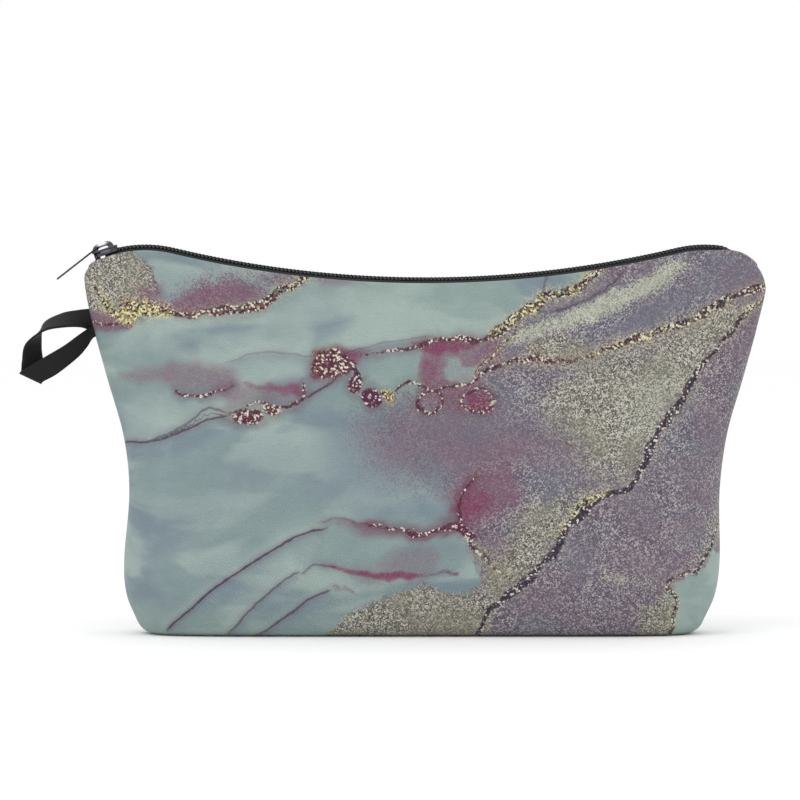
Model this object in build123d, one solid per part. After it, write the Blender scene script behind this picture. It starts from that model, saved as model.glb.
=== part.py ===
from build123d import *
import math
import os

# A zipped makeup pouch: two printed cloth walls on a boxed base, a separate lining, a coil zipper along
# the top edge with a slider and a pull tab, and a ribbon hanging loop sewn in the left side seam.
#
# Frame: X runs along the zipper, -Y is the front, +Z is up, and the origin is the middle of the base's
# underside. Everything is in millimetres.
#
# The walls swing out about the base's long edges when the slider has travelled, so each wall with its
# lining, tape and coil is a rigid half of the pouch, open along the side seams by twice seam_half_gap.

os.makedirs("parts", exist_ok=True)

# Cloth layers, measured inwards from the pouch's outer surface
panel_layer = (0.0, 0.6)
tape_layer = (0.7, 1.1)
lining_layer = (1.2, 1.6)
seam_half_gap = 0.25

# Base tray
base_height = 4.0
base_edge_radius = 3.4
wall_start = 4.2

# How far a cutting shape goes past the pouch's front, and past its rounded top corners
past_front = 40.0
past_corner = 8.0

# Level sections of the walls: height, half width, half depth, squareness across and along
wall_sections = (
    (wall_start, 92.6, 20.6, 8.0, 2.2),
    (12.0, 96.0, 23.4, 7.0, 2.1),
    (24.0, 97.3, 24.6, 6.0, 2.0),
    (44.0, 96.4, 23.0, 5.0, 1.9),
    (64.0, 98.4, 19.4, 5.0, 1.9),
    (84.0, 104.0, 14.8, 6.0, 1.9),
    (102.0, 108.8, 10.2, 8.0, 2.0),
    (114.0, 110.8, 7.9, 10.0, 2.0),
    (128.0, 111.0, 7.0, 10.0, 2.0),
)
section_points = 19

# Zipper line: a sagging arc, a shoulder over each end and a rounded top corner
zipper_mid_height = 115.2
sag = 11.6
sag_half_chord = 90.0
shoulder_start = 82.0
shoulder_radius = 40.0
chain_end = 106.0
corner_radius = 8.0

# Zipper chain, measured down from the zipper line
coil_top = -0.9
coil_bottom = 0.6
tape_top = 0.65
tape_bottom = 0.95
panel_top_drop = 0.9
lining_top_drop = 1.5
tape_flange_depth = 9.0
tape_end = 101.5
coil_inner_edge = 0.1
coil_outer_edge = 2.1
strip_reach = 12.0
flange_gap = 0.05

# Slider
slider_place = -104.1
slider_half_length = 4.3
slider_half_width = 3.4
plate_thickness = 0.6
rim_radius = 0.55
channel_top = 1.1
channel_bottom = -1.2
flange_inner = 2.5
flange_bottom = -0.3
post_half_width = 0.7
bail_half_width = 1.1
bail_rise = 2.2
bail_bar = 0.45
bail_front = -3.6
bail_back = 3.3
bail_foot = 0.8
slider_room = 0.35
slider_room_ends = 3.0
nose_depth = 0.9
shoulder_back = -0.8
tail_taper = 0.5
post_setback = 0.35
post_length = 1.9
bail_front_chamfer = 0.7
bail_back_chamfer = (1.8, 1.2)
bail_sunk = 0.02
bail_gap_lift = 0.15

# Pull tab
pivot_along = -2.05
pivot_below_bar = 0.7
pull_angle = 218.0
pull_corner_radius = 1.6
pull_reach = 16.8
pull_thickness = 0.8
eye_half_width = 1.45
eye_length = 6.2
pull_half_width = 2.6
pin_radius = 0.38

# Stitches and bindings
stitch_length = 2.4
stitch_pitch = 3.4
stitch_width = 0.4
binding_width = 6.0
binding_half_thickness = 0.6
binding_setback = 2.4
binding_span = (20.0, 115.0)
binding_stitch_line = 0.7
binding_stitch_lift = 0.22
binding_stitch_height = 0.36
corner_binding_place = 84.0
corner_binding_length = 18.0
corner_binding_gap = 0.15
zipper_stitch_drop = 4.4
zipper_stitch_reach = 78.0
zipper_stitch_lift = 0.2
zipper_stitch_height = 0.3

# Dense stitching on the loop's ends: a row of short bars, each a little further in than the last
bartack_first = (-103.4, 0.85, 97.6)
bartack_shift = -0.24
bartack_rows = 8
bartack_bar = (2.2, 0.4, 0.6)

# Hanging loop: the two edges of the ribbon from the seam, round the tip and back
ribbon_thickness = 0.6
ribbon_edges = (
    ((-110.0, 0.6, 105.8), (-108.4, 0.6, 98.4)),
    ((-113.4, 3.4, 105.2), (-112.2, -1.8, 99.9)),
    ((-119.0, 4.4, 104.0), (-118.2, -3.2, 99.9)),
    ((-124.8, 4.0, 100.6), (-124.4, -3.3, 98.6)),
    ((-125.6, 4.0, 93.6), (-130.2, -1.7, 94.2)),
    ((-124.8, 3.6, 87.0), (-131.6, 0.5, 88.6)),
    ((-125.0, 1.5, 82.4), (-132.0, 1.2, 85.6)),
    ((-125.2, 0.1, 81.4), (-132.4, 0.1, 84.8)),
    ((-124.4, -1.3, 82.2), (-131.4, -1.2, 85.6)),
    ((-120.1, -1.8, 84.5), (-125.2, -2.4, 89.4)),
    ((-113.6, -0.8, 89.8), (-117.8, -4.2, 93.6)),
    ((-110.6, 0.0, 93.2), (-112.8, -3.6, 97.2)),
    ((-108.1, -0.6, 96.4), (-109.0, -0.6, 99.9)),
)

sag_radius = (sag_half_chord**2 + sag**2) / (2 * sag)
sag_centre_height = zipper_mid_height + sag_radius
sag_angle = math.asin(shoulder_start / sag_radius)
shoulder_centre = (
    shoulder_start + shoulder_radius * math.sin(sag_angle),
    sag_centre_height - (sag_radius + shoulder_radius) * math.cos(sag_angle),
)
end_angle = math.asin((chain_end - shoulder_centre[0]) / shoulder_radius)
corner_centre = (
    chain_end - corner_radius * math.sin(end_angle),
    shoulder_centre[1] + (shoulder_radius - corner_radius) * math.cos(end_angle),
)


def level_curve(height, half_width, half_depth, across, along, inset):
    """The front half of a level section, from the left side seam to the right one."""
    width = half_width - inset
    depth = half_depth - inset
    points = []
    for step in range(section_points):
        turn = math.pi * step / (section_points - 1)
        x = -math.copysign(abs(math.cos(turn)) ** (2 / across), math.cos(turn)) * width
        y = -max(depth * math.sin(turn) ** (2 / along), seam_half_gap)
        points.append((x, y, height))
    points[0] = (-width, -seam_half_gap, height)
    points[-1] = (width, -seam_half_gap, height)
    return Spline(*points)


def loft_sections(make_wire):
    return Solid.make_loft([make_wire(section) for section in wall_sections])


def wall_shell(layer):
    """One cloth layer of the front wall, from the base to above the zipper line."""

    def ring(section):
        outer = level_curve(*section, layer[0])
        inner = level_curve(*section, layer[1])
        ends = [Line(outer @ 0, inner @ 0), Line(outer @ 1, inner @ 1)]
        return Wire([outer, *ends, inner])

    return loft_sections(ring)


def wall_core(inset):
    """Everything inside the front wall at that inset, as one solid."""

    def half_section(section):
        outer = level_curve(*section, inset)
        return Wire([outer, Line(outer @ 0, outer @ 1)])

    return loft_sections(half_section)


def on_shoulder(angle, drop, side):
    reach = shoulder_radius - drop
    x = shoulder_centre[0] + reach * math.sin(angle)
    return (side * x, shoulder_centre[1] + reach * math.cos(angle))


def sag_point(x, drop):
    reach = sag_radius + drop
    return (x, sag_centre_height - math.sqrt(reach**2 - x**2))


def zipper_edges(drop, end):
    """The zipper line moved down by drop, from x = -end to x = end, as arcs in the XZ plane."""
    low = on_shoulder(-sag_angle, drop, -1)
    high = on_shoulder(-sag_angle, drop, 1)
    turn = math.asin((end - shoulder_centre[0]) / shoulder_radius)
    half = (turn - sag_angle) / 2
    left = ThreePointArc(on_shoulder(turn, drop, -1), on_shoulder(half, drop, -1), low)
    middle = ThreePointArc(low, sag_point(0, drop), high)
    right = ThreePointArc(high, on_shoulder(half, drop, 1), on_shoulder(turn, drop, 1))
    return [left, middle, right]


def upright(edges, front, back):
    """A face drawn in the XZ plane, as a solid from y = -front to y = -back."""
    face = Plane.XZ * make_face(edges)
    return Pos(0, -back, 0) * extrude(face, amount=front - back)


def zipper_band(top, bottom, end, front, back):
    upper = zipper_edges(top, end)
    lower = zipper_edges(bottom, end)
    ends = [Line(upper[0] @ 0, lower[0] @ 0), Line(upper[-1] @ 1, lower[-1] @ 1)]
    return upright([*upper, *lower, *ends], front, back)


def below_zipper(drop):
    """All the room under the zipper line and its rounded corners, less drop."""
    edges = zipper_edges(drop, chain_end)
    reach = corner_radius - drop
    half = (end_angle + math.pi / 2) / 2
    corners = []
    floor = []
    for side, start in ((-1, edges[0] @ 0), (1, edges[-1] @ 1)):
        mid = (
            side * (corner_centre[0] + reach * math.sin(half)),
            corner_centre[1] + reach * math.cos(half),
        )
        foot = (side * (corner_centre[0] + reach), corner_centre[1])
        corners.append(ThreePointArc((start.X, start.Y), mid, foot))
        wide = foot[0] + side * past_corner
        floor.append((foot, (wide, corner_centre[1] - past_corner), (wide, 0)))
    sides = [Polyline(*points) for points in floor]
    bottom = Line(sides[0] @ 1, sides[1] @ 1)
    return upright([*edges, *corners, *sides, bottom], past_front, 0)


def front_and_back(solid):
    return solid, mirror(solid, about=Plane.XZ)


def base_outline(inset):
    curve = level_curve(0, *wall_sections[0][1:], inset)
    back = mirror(curve, about=Plane.XZ)
    ends = [Line(curve @ 0, back @ 0), Line(curve @ 1, back @ 1)]
    return make_face([curve, back, *ends])


def base_tray(layer):
    body = extrude(base_outline(layer[0]), amount=base_height - layer[0])
    body = Pos(0, 0, layer[0]) * body
    rim = body.edges().filter_by_position(Axis.Z, layer[0] - 0.01, layer[0] + 0.01)
    body = fillet(rim, base_edge_radius - layer[0])
    hollow = extrude(base_outline(layer[1]), amount=base_height - layer[1] + 1)
    hollow = Pos(0, 0, layer[1]) * hollow
    rim = hollow.edges().filter_by_position(Axis.Z, layer[1] - 0.01, layer[1] + 0.01)
    return body - fillet(rim, base_edge_radius - layer[1])


def side_binding(side):
    """The bound seam allowance inside a side seam, a flat strip in the XZ plane."""
    rows = [s for s in wall_sections if binding_span[0] < s[0] < binding_span[1]]
    outer = [(side * (s[1] - binding_setback), s[0]) for s in rows]
    inner = [(side * (s[1] - binding_setback - binding_width), s[0]) for s in rows]
    edges = [Spline(*outer), Spline(*inner)]
    edges += [Line(outer[0], inner[0]), Line(outer[-1], inner[-1])]
    return upright(edges, binding_half_thickness, -binding_half_thickness)


def corner_binding(side):
    """The bound allowance of a boxed corner's cross seam, standing on the base lining."""
    strip = Box(
        2 * binding_half_thickness,
        corner_binding_length,
        binding_width,
        align=(Align.CENTER, Align.CENTER, Align.MIN),
    )
    return Pos(side * corner_binding_place, 0, lining_layer[1] + corner_binding_gap) * strip


def binding_stitches(side):
    rows = [s for s in wall_sections if binding_span[0] < s[0] < binding_span[1]]
    setback = binding_setback + binding_stitch_line * binding_width
    seam = Spline(*[(side * (s[1] - setback), 0, s[0]) for s in rows])
    stitches = []
    for step in range(int(seam.length / stitch_pitch)):
        place = seam.location_at((step + 0.5) * stitch_pitch / seam.length)
        start = place.position
        along = seam % ((step + 0.5) * stitch_pitch / seam.length)
        for face in (-1, 1):
            plane = Plane(
                origin=(start.X, face * (binding_half_thickness + binding_stitch_lift), start.Z),
                x_dir=along,
                z_dir=(0, 1, 0),
            )
            stitches.append(plane * Box(stitch_length, stitch_width, binding_stitch_height))
    return Compound(stitches)


def zipper_stitches(core):
    """Stitches on the lining's inner face, a little below the tape."""
    stitches = []
    reach = sag_radius + zipper_stitch_drop
    count = int(2 * zipper_stitch_reach / stitch_pitch)
    stitch = Box(stitch_length, zipper_stitch_height, stitch_width)
    for step in range(count):
        x = zipper_stitch_reach * (2 * (step + 0.5) / count - 1)
        z = sag_point(x, zipper_stitch_drop)[1]
        ray = Axis((x, -past_front, z), (0, 1, 0))
        hits = sorted(core.find_intersection_points(ray), key=lambda hit: hit[0].Y)
        y = hits[0][0].Y + zipper_stitch_lift
        slope = math.degrees(math.asin(x / reach))
        stitches.append(Pos(x, y, z) * Rot(0, -slope, 0) * stitch)
    return Compound(stitches)


def zipper_tape():
    """The woven tape: a flat strip from the coil to the wall, and a flange sewn down inside the wall."""
    strip = zipper_band(tape_top, tape_bottom, tape_end, strip_reach, coil_inner_edge + 0.5)
    strip = strip & wall_core(tape_layer[0])
    flange = zipper_band(tape_bottom + flange_gap, tape_flange_depth, tape_end, past_front, 0)
    return Compound([strip.solids()[0], (wall_shell(tape_layer) & flange).solids()[0]])


def slider_angle():
    return math.asin((-slider_place - shoulder_centre[0]) / shoulder_radius)


def slider_frame():
    """Local X runs along the slider towards the chain, local Z is square to the chain."""
    angle = slider_angle()
    x, z = on_shoulder(angle, 0, -1)
    return Plane(
        origin=(x, 0, z),
        x_dir=(math.cos(angle), 0, math.sin(angle)),
        z_dir=(-math.sin(angle), 0, math.cos(angle)),
    )


def plate_outline():
    """A slider plate from above: wide shoulders at the nose, narrower at the tail."""
    front = -slider_half_length + nose_depth
    waist = [
        (front, slider_half_width),
        (shoulder_back, slider_half_width),
        (slider_half_length, slider_half_width - tail_taper),
    ]
    nose = ThreePointArc(
        (front, -slider_half_width), (-slider_half_length, 0), (front, slider_half_width)
    )
    upper = Polyline(*waist)
    lower = Polyline(*[(x, -y) for x, y in waist])
    return make_face([nose, upper, lower, Line(upper @ 1, lower @ 1)])


def slider_body():
    plate = extrude(plate_outline(), amount=plate_thickness)
    plate = fillet(plate.edges().group_by(Axis.Z)[-1], rim_radius)
    top = Pos(0, 0, channel_top) * plate
    bottom = Pos(0, 0, channel_bottom) * Rot(180, 0, 0) * plate
    walls = extrude(plate_outline(), amount=channel_top - flange_bottom)
    channel = Box(4 * slider_half_length, 2 * flange_inner, 4 * channel_top)
    walls = Pos(0, 0, flange_bottom) * walls - channel
    post = Pos(-slider_half_length + post_setback + post_length / 2, 0, 0) * Box(
        post_length,
        2 * post_half_width,
        channel_top - channel_bottom,
        align=(Align.CENTER, Align.CENTER, Align.MIN),
    )
    post = Pos(0, 0, channel_bottom) * post
    return top + bottom + walls + post


def slider_bail():
    """The bridge on the slider's back: two feet and a thin bar between them."""
    foot = channel_top + plate_thickness
    top = foot + bail_rise
    slope_length, slope_drop = bail_back_chamfer
    outer = Polyline(
        (bail_front, foot + bail_sunk),
        (bail_front, top - bail_front_chamfer),
        (bail_front + bail_front_chamfer, top),
        (bail_back - slope_length, top),
        (bail_back, top - slope_drop),
        (bail_back, foot + bail_sunk),
    )
    face = make_face([outer, Line(outer @ 1, outer @ 0)])
    gap_top = top - bail_bar
    gap_front = bail_front + bail_foot
    gap_back = bail_back - bail_foot - slope_drop
    gap_foot = foot + bail_gap_lift
    gap = Polyline(
        (gap_front, gap_foot), (gap_front, gap_top), (gap_back, gap_top), (gap_back, gap_foot)
    )
    face -= make_face([gap, Line(gap @ 1, gap @ 0)])
    bridge = extrude(Plane.XZ * face, amount=bail_half_width, both=True)
    return bridge


def pull_pivot():
    rise = channel_top + plate_thickness + bail_rise - bail_bar - pivot_below_bar
    return slider_frame().from_local_coords((pivot_along, 0, rise))


def pull_tab():
    """A flat tab with an eye; the eye's cross pin hangs in the bail."""
    angle = math.radians(pull_angle)
    frame = Plane(
        origin=pull_pivot(),
        x_dir=(math.cos(angle), 0, math.sin(angle)),
        z_dir=(math.sin(angle), 0, -math.cos(angle)),
    )
    arm = pull_half_width - eye_half_width
    plate = Box(
        pull_reach - eye_length,
        2 * pull_half_width,
        pull_thickness,
        align=(Align.MIN, Align.CENTER, Align.CENTER),
    )
    plate = Pos(eye_length, 0, 0) * plate
    plate = fillet(plate.edges().filter_by(Axis.Z).sort_by(Axis.X)[-2:], pull_corner_radius)
    arms = Box(
        eye_length, arm, pull_thickness, align=(Align.MIN, Align.CENTER, Align.CENTER)
    )
    offset = eye_half_width + arm / 2
    pin = Rot(90, 0, 0) * Cylinder(pin_radius, 2 * pull_half_width)
    tab = plate + Pos(0, offset, 0) * arms + Pos(0, -offset, 0) * arms + pin
    return frame * tab


def hanging_loop():
    """The ribbon as short flat lengths between its stations."""
    count = len(ribbon_edges)
    middles = [(Vector(*a) + Vector(*b)) / 2 for a, b in ribbon_edges]
    stations = []
    for step, (a, b) in enumerate(ribbon_edges):
        ahead = middles[min(step + 1, count - 1)] - middles[max(step - 1, 0)]
        across = Vector(*b) - Vector(*a)
        lift = across.cross(ahead).normalized() * (ribbon_thickness / 2)
        a, b = Vector(*a), Vector(*b)
        stations.append(Polyline(a + lift, b + lift, b - lift, a - lift, close=True))
    return Solid.make_loft([Wire(s.edges()) for s in stations], ruled=True)


def loop_bartack():
    """The dense stitching that holds the loop's ends to the bound seam allowance."""
    x, y, z = bartack_first
    bars = [Pos(x + bartack_shift * row, y, z + row) * Box(*bartack_bar) for row in range(bartack_rows)]
    return Compound(bars)


parts = {}
core_inside = wall_core(lining_layer[1])
room = slider_frame() * Box(
    2 * slider_half_length + slider_room_ends,
    2 * (slider_half_width + slider_room),
    2 * (channel_top + plate_thickness + bail_rise),
)
layers = {
    "panel": wall_shell(panel_layer) & below_zipper(panel_top_drop),
    "lining": wall_shell(lining_layer) & below_zipper(lining_top_drop),
    "zipper_tape": zipper_tape(),
    "coil": zipper_band(coil_top, coil_bottom, chain_end, coil_outer_edge, coil_inner_edge),
    "zipper_stitches": zipper_stitches(core_inside),
}
layers["panel"] -= room
layers["lining"] -= room
for name, solid in layers.items():
    parts["front_" + name], parts["back_" + name] = front_and_back(solid)
parts["base_panel"] = base_tray(panel_layer)
parts["base_lining"] = base_tray(lining_layer)
for side, word in ((-1, "left"), (1, "right")):
    parts[word + "_side_binding"] = side_binding(side)
    parts[word + "_side_stitches"] = binding_stitches(side)
    parts[word + "_corner_binding"] = corner_binding(side)
parts["slider_body"] = slider_frame() * slider_body()
parts["slider_bail"] = slider_frame() * slider_bail()
parts["pull_tab"] = pull_tab()
parts["hanging_loop"] = hanging_loop()
parts["loop_bartack"] = loop_bartack()

for name, solid in parts.items():
    export_step(solid, f"parts/{name}.step")
print("slider angle", round(math.degrees(slider_angle()), 2), "at", slider_frame().origin)
print("pull pivot", pull_pivot())
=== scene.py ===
import math

import bpy
import numpy as np
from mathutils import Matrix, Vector


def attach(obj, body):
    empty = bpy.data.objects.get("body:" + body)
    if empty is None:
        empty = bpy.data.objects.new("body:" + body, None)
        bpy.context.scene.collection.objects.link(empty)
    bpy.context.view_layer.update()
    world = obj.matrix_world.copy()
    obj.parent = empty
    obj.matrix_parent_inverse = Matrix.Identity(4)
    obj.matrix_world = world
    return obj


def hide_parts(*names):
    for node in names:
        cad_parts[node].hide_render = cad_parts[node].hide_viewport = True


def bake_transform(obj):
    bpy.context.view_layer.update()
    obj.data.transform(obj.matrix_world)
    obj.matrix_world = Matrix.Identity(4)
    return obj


# A zipped makeup pouch. Lengths below are in millimetres and are turned to metres when a mesh is made.
# X runs along the zipper, the front is -Y and Z is up, as in the frame.

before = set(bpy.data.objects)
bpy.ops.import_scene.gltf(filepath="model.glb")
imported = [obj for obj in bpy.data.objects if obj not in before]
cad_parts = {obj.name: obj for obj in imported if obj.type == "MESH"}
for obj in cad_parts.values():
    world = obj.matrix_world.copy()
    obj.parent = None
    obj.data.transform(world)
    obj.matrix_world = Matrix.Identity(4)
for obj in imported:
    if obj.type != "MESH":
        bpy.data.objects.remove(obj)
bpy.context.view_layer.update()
print("frame loaded:", len(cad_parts), "nodes")

mm = 0.001


# small helpers

def toLinear(hexColour):
    channels = [int(hexColour[i:i + 2], 16) / 255 for i in (1, 3, 5)]
    return tuple(c / 12.92 if c <= 0.04045 else ((c + 0.055) / 1.055) ** 2.4 for c in channels) + (1.0,)


def smoothStep(low, high, value):
    t = np.clip((value - low) / (high - low), 0, 1)
    return t * t * (3 - 2 * t)


def smoothStretch(four, t):
    # the stretch between the middle two of four points on a Catmull-Rom line
    a, b, c, d = four
    bend = 2 * b + (c - a) * t + (2 * a - 5 * b + 4 * c - d) * t**2
    return 0.5 * (bend + (3 * b - a - 3 * c + d) * t**3)


def curveThrough(points, spacing):
    # a smooth Catmull-Rom line through a few points, with even steps
    points = np.array(points, float)
    padded = np.vstack([2 * points[0] - points[1], points, 2 * points[-1] - points[-2]])
    made = []
    for i in range(len(points) - 1):
        count = max(2, int(np.linalg.norm(padded[i + 2] - padded[i + 1]) / spacing))
        t = np.linspace(0, 1, count, endpoint=False)[:, None]
        made.append(smoothStretch(padded[i:i + 4], t))
    return np.vstack(made + [points[-1:]])


def smoothTable(x, knots, values):
    # a smooth line through a small table, flat where the table turns round
    knots, values = np.array(knots, float), np.array(values, float)
    slope = np.diff(values) / np.diff(knots)
    tangent = np.concatenate([[slope[0]], (slope[:-1] + slope[1:]) / 2, [slope[-1]]])
    tangent[1:-1][slope[:-1] * slope[1:] <= 0] = 0
    x = np.clip(x, knots[0], knots[-1])
    i = np.clip(np.searchsorted(knots, x, side="right") - 1, 0, len(knots) - 2)
    h = knots[i + 1] - knots[i]
    t = (x - knots[i]) / h
    low, high = values[i], values[i + 1]
    return (
        (2 * t**3 - 3 * t**2 + 1) * low
        + (t**3 - 2 * t**2 + t) * h * tangent[i]
        + (-2 * t**3 + 3 * t**2) * high
        + (t**3 - t**2) * h * tangent[i + 1]
    )


def unevenness(x, y, size, seed):
    # soft value noise from -1 to 1 with bumps about size across
    lattice = np.random.default_rng(seed).uniform(-1, 1, (64, 64))
    x, y = np.asarray(x, float) / size + 500, np.asarray(y, float) / size + 500
    i, j = np.floor(x).astype(int), np.floor(y).astype(int)
    u, v = x - i, y - j
    u, v = u * u * (3 - 2 * u), v * v * (3 - 2 * v)
    corner = [[lattice[(i + a) % 64, (j + b) % 64] for b in (0, 1)] for a in (0, 1)]
    near = corner[0][0] * (1 - v) + corner[0][1] * v
    far = corner[1][0] * (1 - v) + corner[1][1] * v
    return near * (1 - u) + far * u


def layeredUnevenness(x, y, size, seed, layers=3):
    total, weight = 0, 0
    for layer in range(layers):
        total = total + unevenness(x, y, size / 2**layer, seed + layer) / 2**layer
        weight += 1 / 2**layer
    return total / weight


def gridFaces(rows, columns, offset=0, closed=False):
    faces = []
    for r in range(rows - 1):
        for c in range(columns if closed else columns - 1):
            d = (c + 1) % columns
            faces.append((offset + r * columns + c, offset + r * columns + d,
                          offset + (r + 1) * columns + d, offset + (r + 1) * columns + c))
    return faces


def makePiece(name, points, faces, attributes=None):
    mesh = bpy.data.meshes.new(name)
    mesh.from_pydata((np.asarray(points).reshape(-1, 3) * mm).tolist(), [], faces)
    mesh.polygons.foreach_set("use_smooth", [True] * len(mesh.polygons))
    for key, values in (attributes or {}).items():
        kind = "FLOAT_VECTOR" if np.ndim(values) == 2 else "FLOAT"
        made = mesh.attributes.new(key, kind, "POINT")
        slot = "vector" if kind == "FLOAT_VECTOR" else "value"
        made.data.foreach_set(slot, np.asarray(values, np.float32).ravel())
    mesh.update()
    piece = bpy.data.objects.new(name, mesh)
    bpy.context.scene.collection.objects.link(piece)
    return piece


def sheetPiece(name, grid, attributes=None, flip=False):
    rows, columns = grid.shape[:2]
    faces = gridFaces(rows, columns)
    if flip:
        faces = [f[::-1] for f in faces]
    flat = {k: v.reshape(-1, 3) if v.ndim == 3 else v.ravel() for k, v in (attributes or {}).items()}
    return makePiece(name, grid, faces, flat)


def thicken(piece, thickness, offset=-1.0, rim=True):
    solid = piece.modifiers.new("clothThickness", "SOLIDIFY")
    solid.thickness = thickness * mm
    solid.offset = offset
    solid.use_even_offset = False
    solid.use_rim = rim
    return piece


def joined(parts):
    points, faces, offset = [], [], 0
    for p, f in parts:
        points.append(p)
        faces += [tuple(i + offset for i in face) for face in f]
        offset += len(p)
    return np.vstack(points), faces


# materials

def newMaterial(name):
    material = bpy.data.materials.new(name)
    material.use_nodes = True
    tree = material.node_tree
    tree.nodes.clear()
    return material, tree


def addNode(tree, kind, settings, sockets, output=0):
    # one node with its settings; a socket takes a value or the output that feeds it
    node = tree.nodes.new("ShaderNode" + kind)
    for key, value in settings.items():
        setattr(node, key, value)
    for key, value in sockets.items():
        if isinstance(value, bpy.types.NodeSocket):
            tree.links.new(value, node.inputs[key])
        else:
            node.inputs[key].default_value = value
    return node if output is None else node.outputs[output]


# settings that many of the nodes share
add, subtract, multiply = {"operation": "ADD"}, {"operation": "SUBTRACT"}, {"operation": "MULTIPLY"}
multiplyAdd, larger, sine = {"operation": "MULTIPLY_ADD"}, {"operation": "MAXIMUM"}, {"operation": "SINE"}
evenRange, softRange = {"interpolation_type": "LINEAR"}, {"interpolation_type": "SMOOTHSTEP"}
colourMix = {"data_type": "RGBA"}   # its amount is socket 0, its colours are 6 and 7, and it comes out at 2

printColours = {
    "teal": "#90A4A0",
    "mint": "#A6B7B1",
    "slate": "#7D8D98",
    "mauve": "#72707E",
    "mauveWarm": "#796A79",
    "olive": "#8B8978",
    "pale": "#B4B8A6",
    "plum": "#7E566C",
    "magenta": "#80365A",
    "ink": "#2E2A40",
    "wine": "#5A2340",
    "gold": "#E4DEA8",
    "goldShade": "#958B55",
    "fleck": "#E2DBD4",
}

printGrain = {
    "speckle": 0.4,      # 0.3 mm across on the real print, drawn 0.4 mm so that it shows
    "flake": 0.62,       # 0.5 mm across on the real print, drawn 0.62 mm
    "threads": 1.05,     # threads 0.4 mm apart on the real cloth, drawn 1.05 mm apart so that they show
    # noises: scale per millimetre, detail, roughness, distortion, stretch and turn in degrees
    "noises": {
        "ragged": (0.3, 5, 0.65, 0.0, (1, 1, 1), 0),
        "drift": (0.1, 4, 0.5, 0.4, (1, 1, 1), 0),
        "streak": (0.024, 2, 0.5, 0.6, (0.7, 1.3, 1), -32),
        "brush": (0.04, 3, 0.5, 0.5, (0.55, 1.4, 1), -38),
        "patch": (0.05, 4, 0.5, 0.8, (0.7, 1.3, 1), -40),
        "cover": (0.06, 3, 0.5, 0.6, (1, 1, 1), 0),
        "lineWobble": (0.6, 3, 0.5, 0.0, (1, 1, 1), 0),
        "veinWobble": (0.8, 4, 0.7, 0.0, (1, 1, 1), 0),
        "slub": (1.6, 2, 0.5, 0.0, (0.25, 1.0, 1), 0),
    },
    # fields that a noise moves: field, noise and the size of the move
    "moves": {
        "slate": ("slateStain", "drift", 0.5),
        "mint": ("paleWash", "drift", 0.6),
        "olive": ("oliveWash", "drift", 0.7),
        "pale": ("paleWash", "drift", 0.4),
        "band": ("mauveWash", "ragged", 0.5),
        "ground": ("groundEdge", "ragged", 6.0),
        "pocket": ("pocketEdge", "ragged", 3.0),
        "plum": ("plumStain", "drift", 0.45),
        "magenta": ("magentaStain", "ragged", 0.9),
        "line": ("lineGap", "lineWobble", 0.8),
        "vein": ("veinGap", "veinWobble", 1.9),
    },
}

# the print's masks and distances, three to an attribute of the mesh
printAttributes = {
    "inkWash": ("mauveWash", "oliveWash", "paleWash"),
    "inkStain": ("plumStain", "magentaStain", "slateStain"),
    "inkEdge": ("groundEdge", "pocketEdge", "haze"),
    "inkVein": ("veinGap", "veinGold", "veinWine"),
    "inkLine": ("lineGap", "lineStrength", "lineShade"),
}


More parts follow.
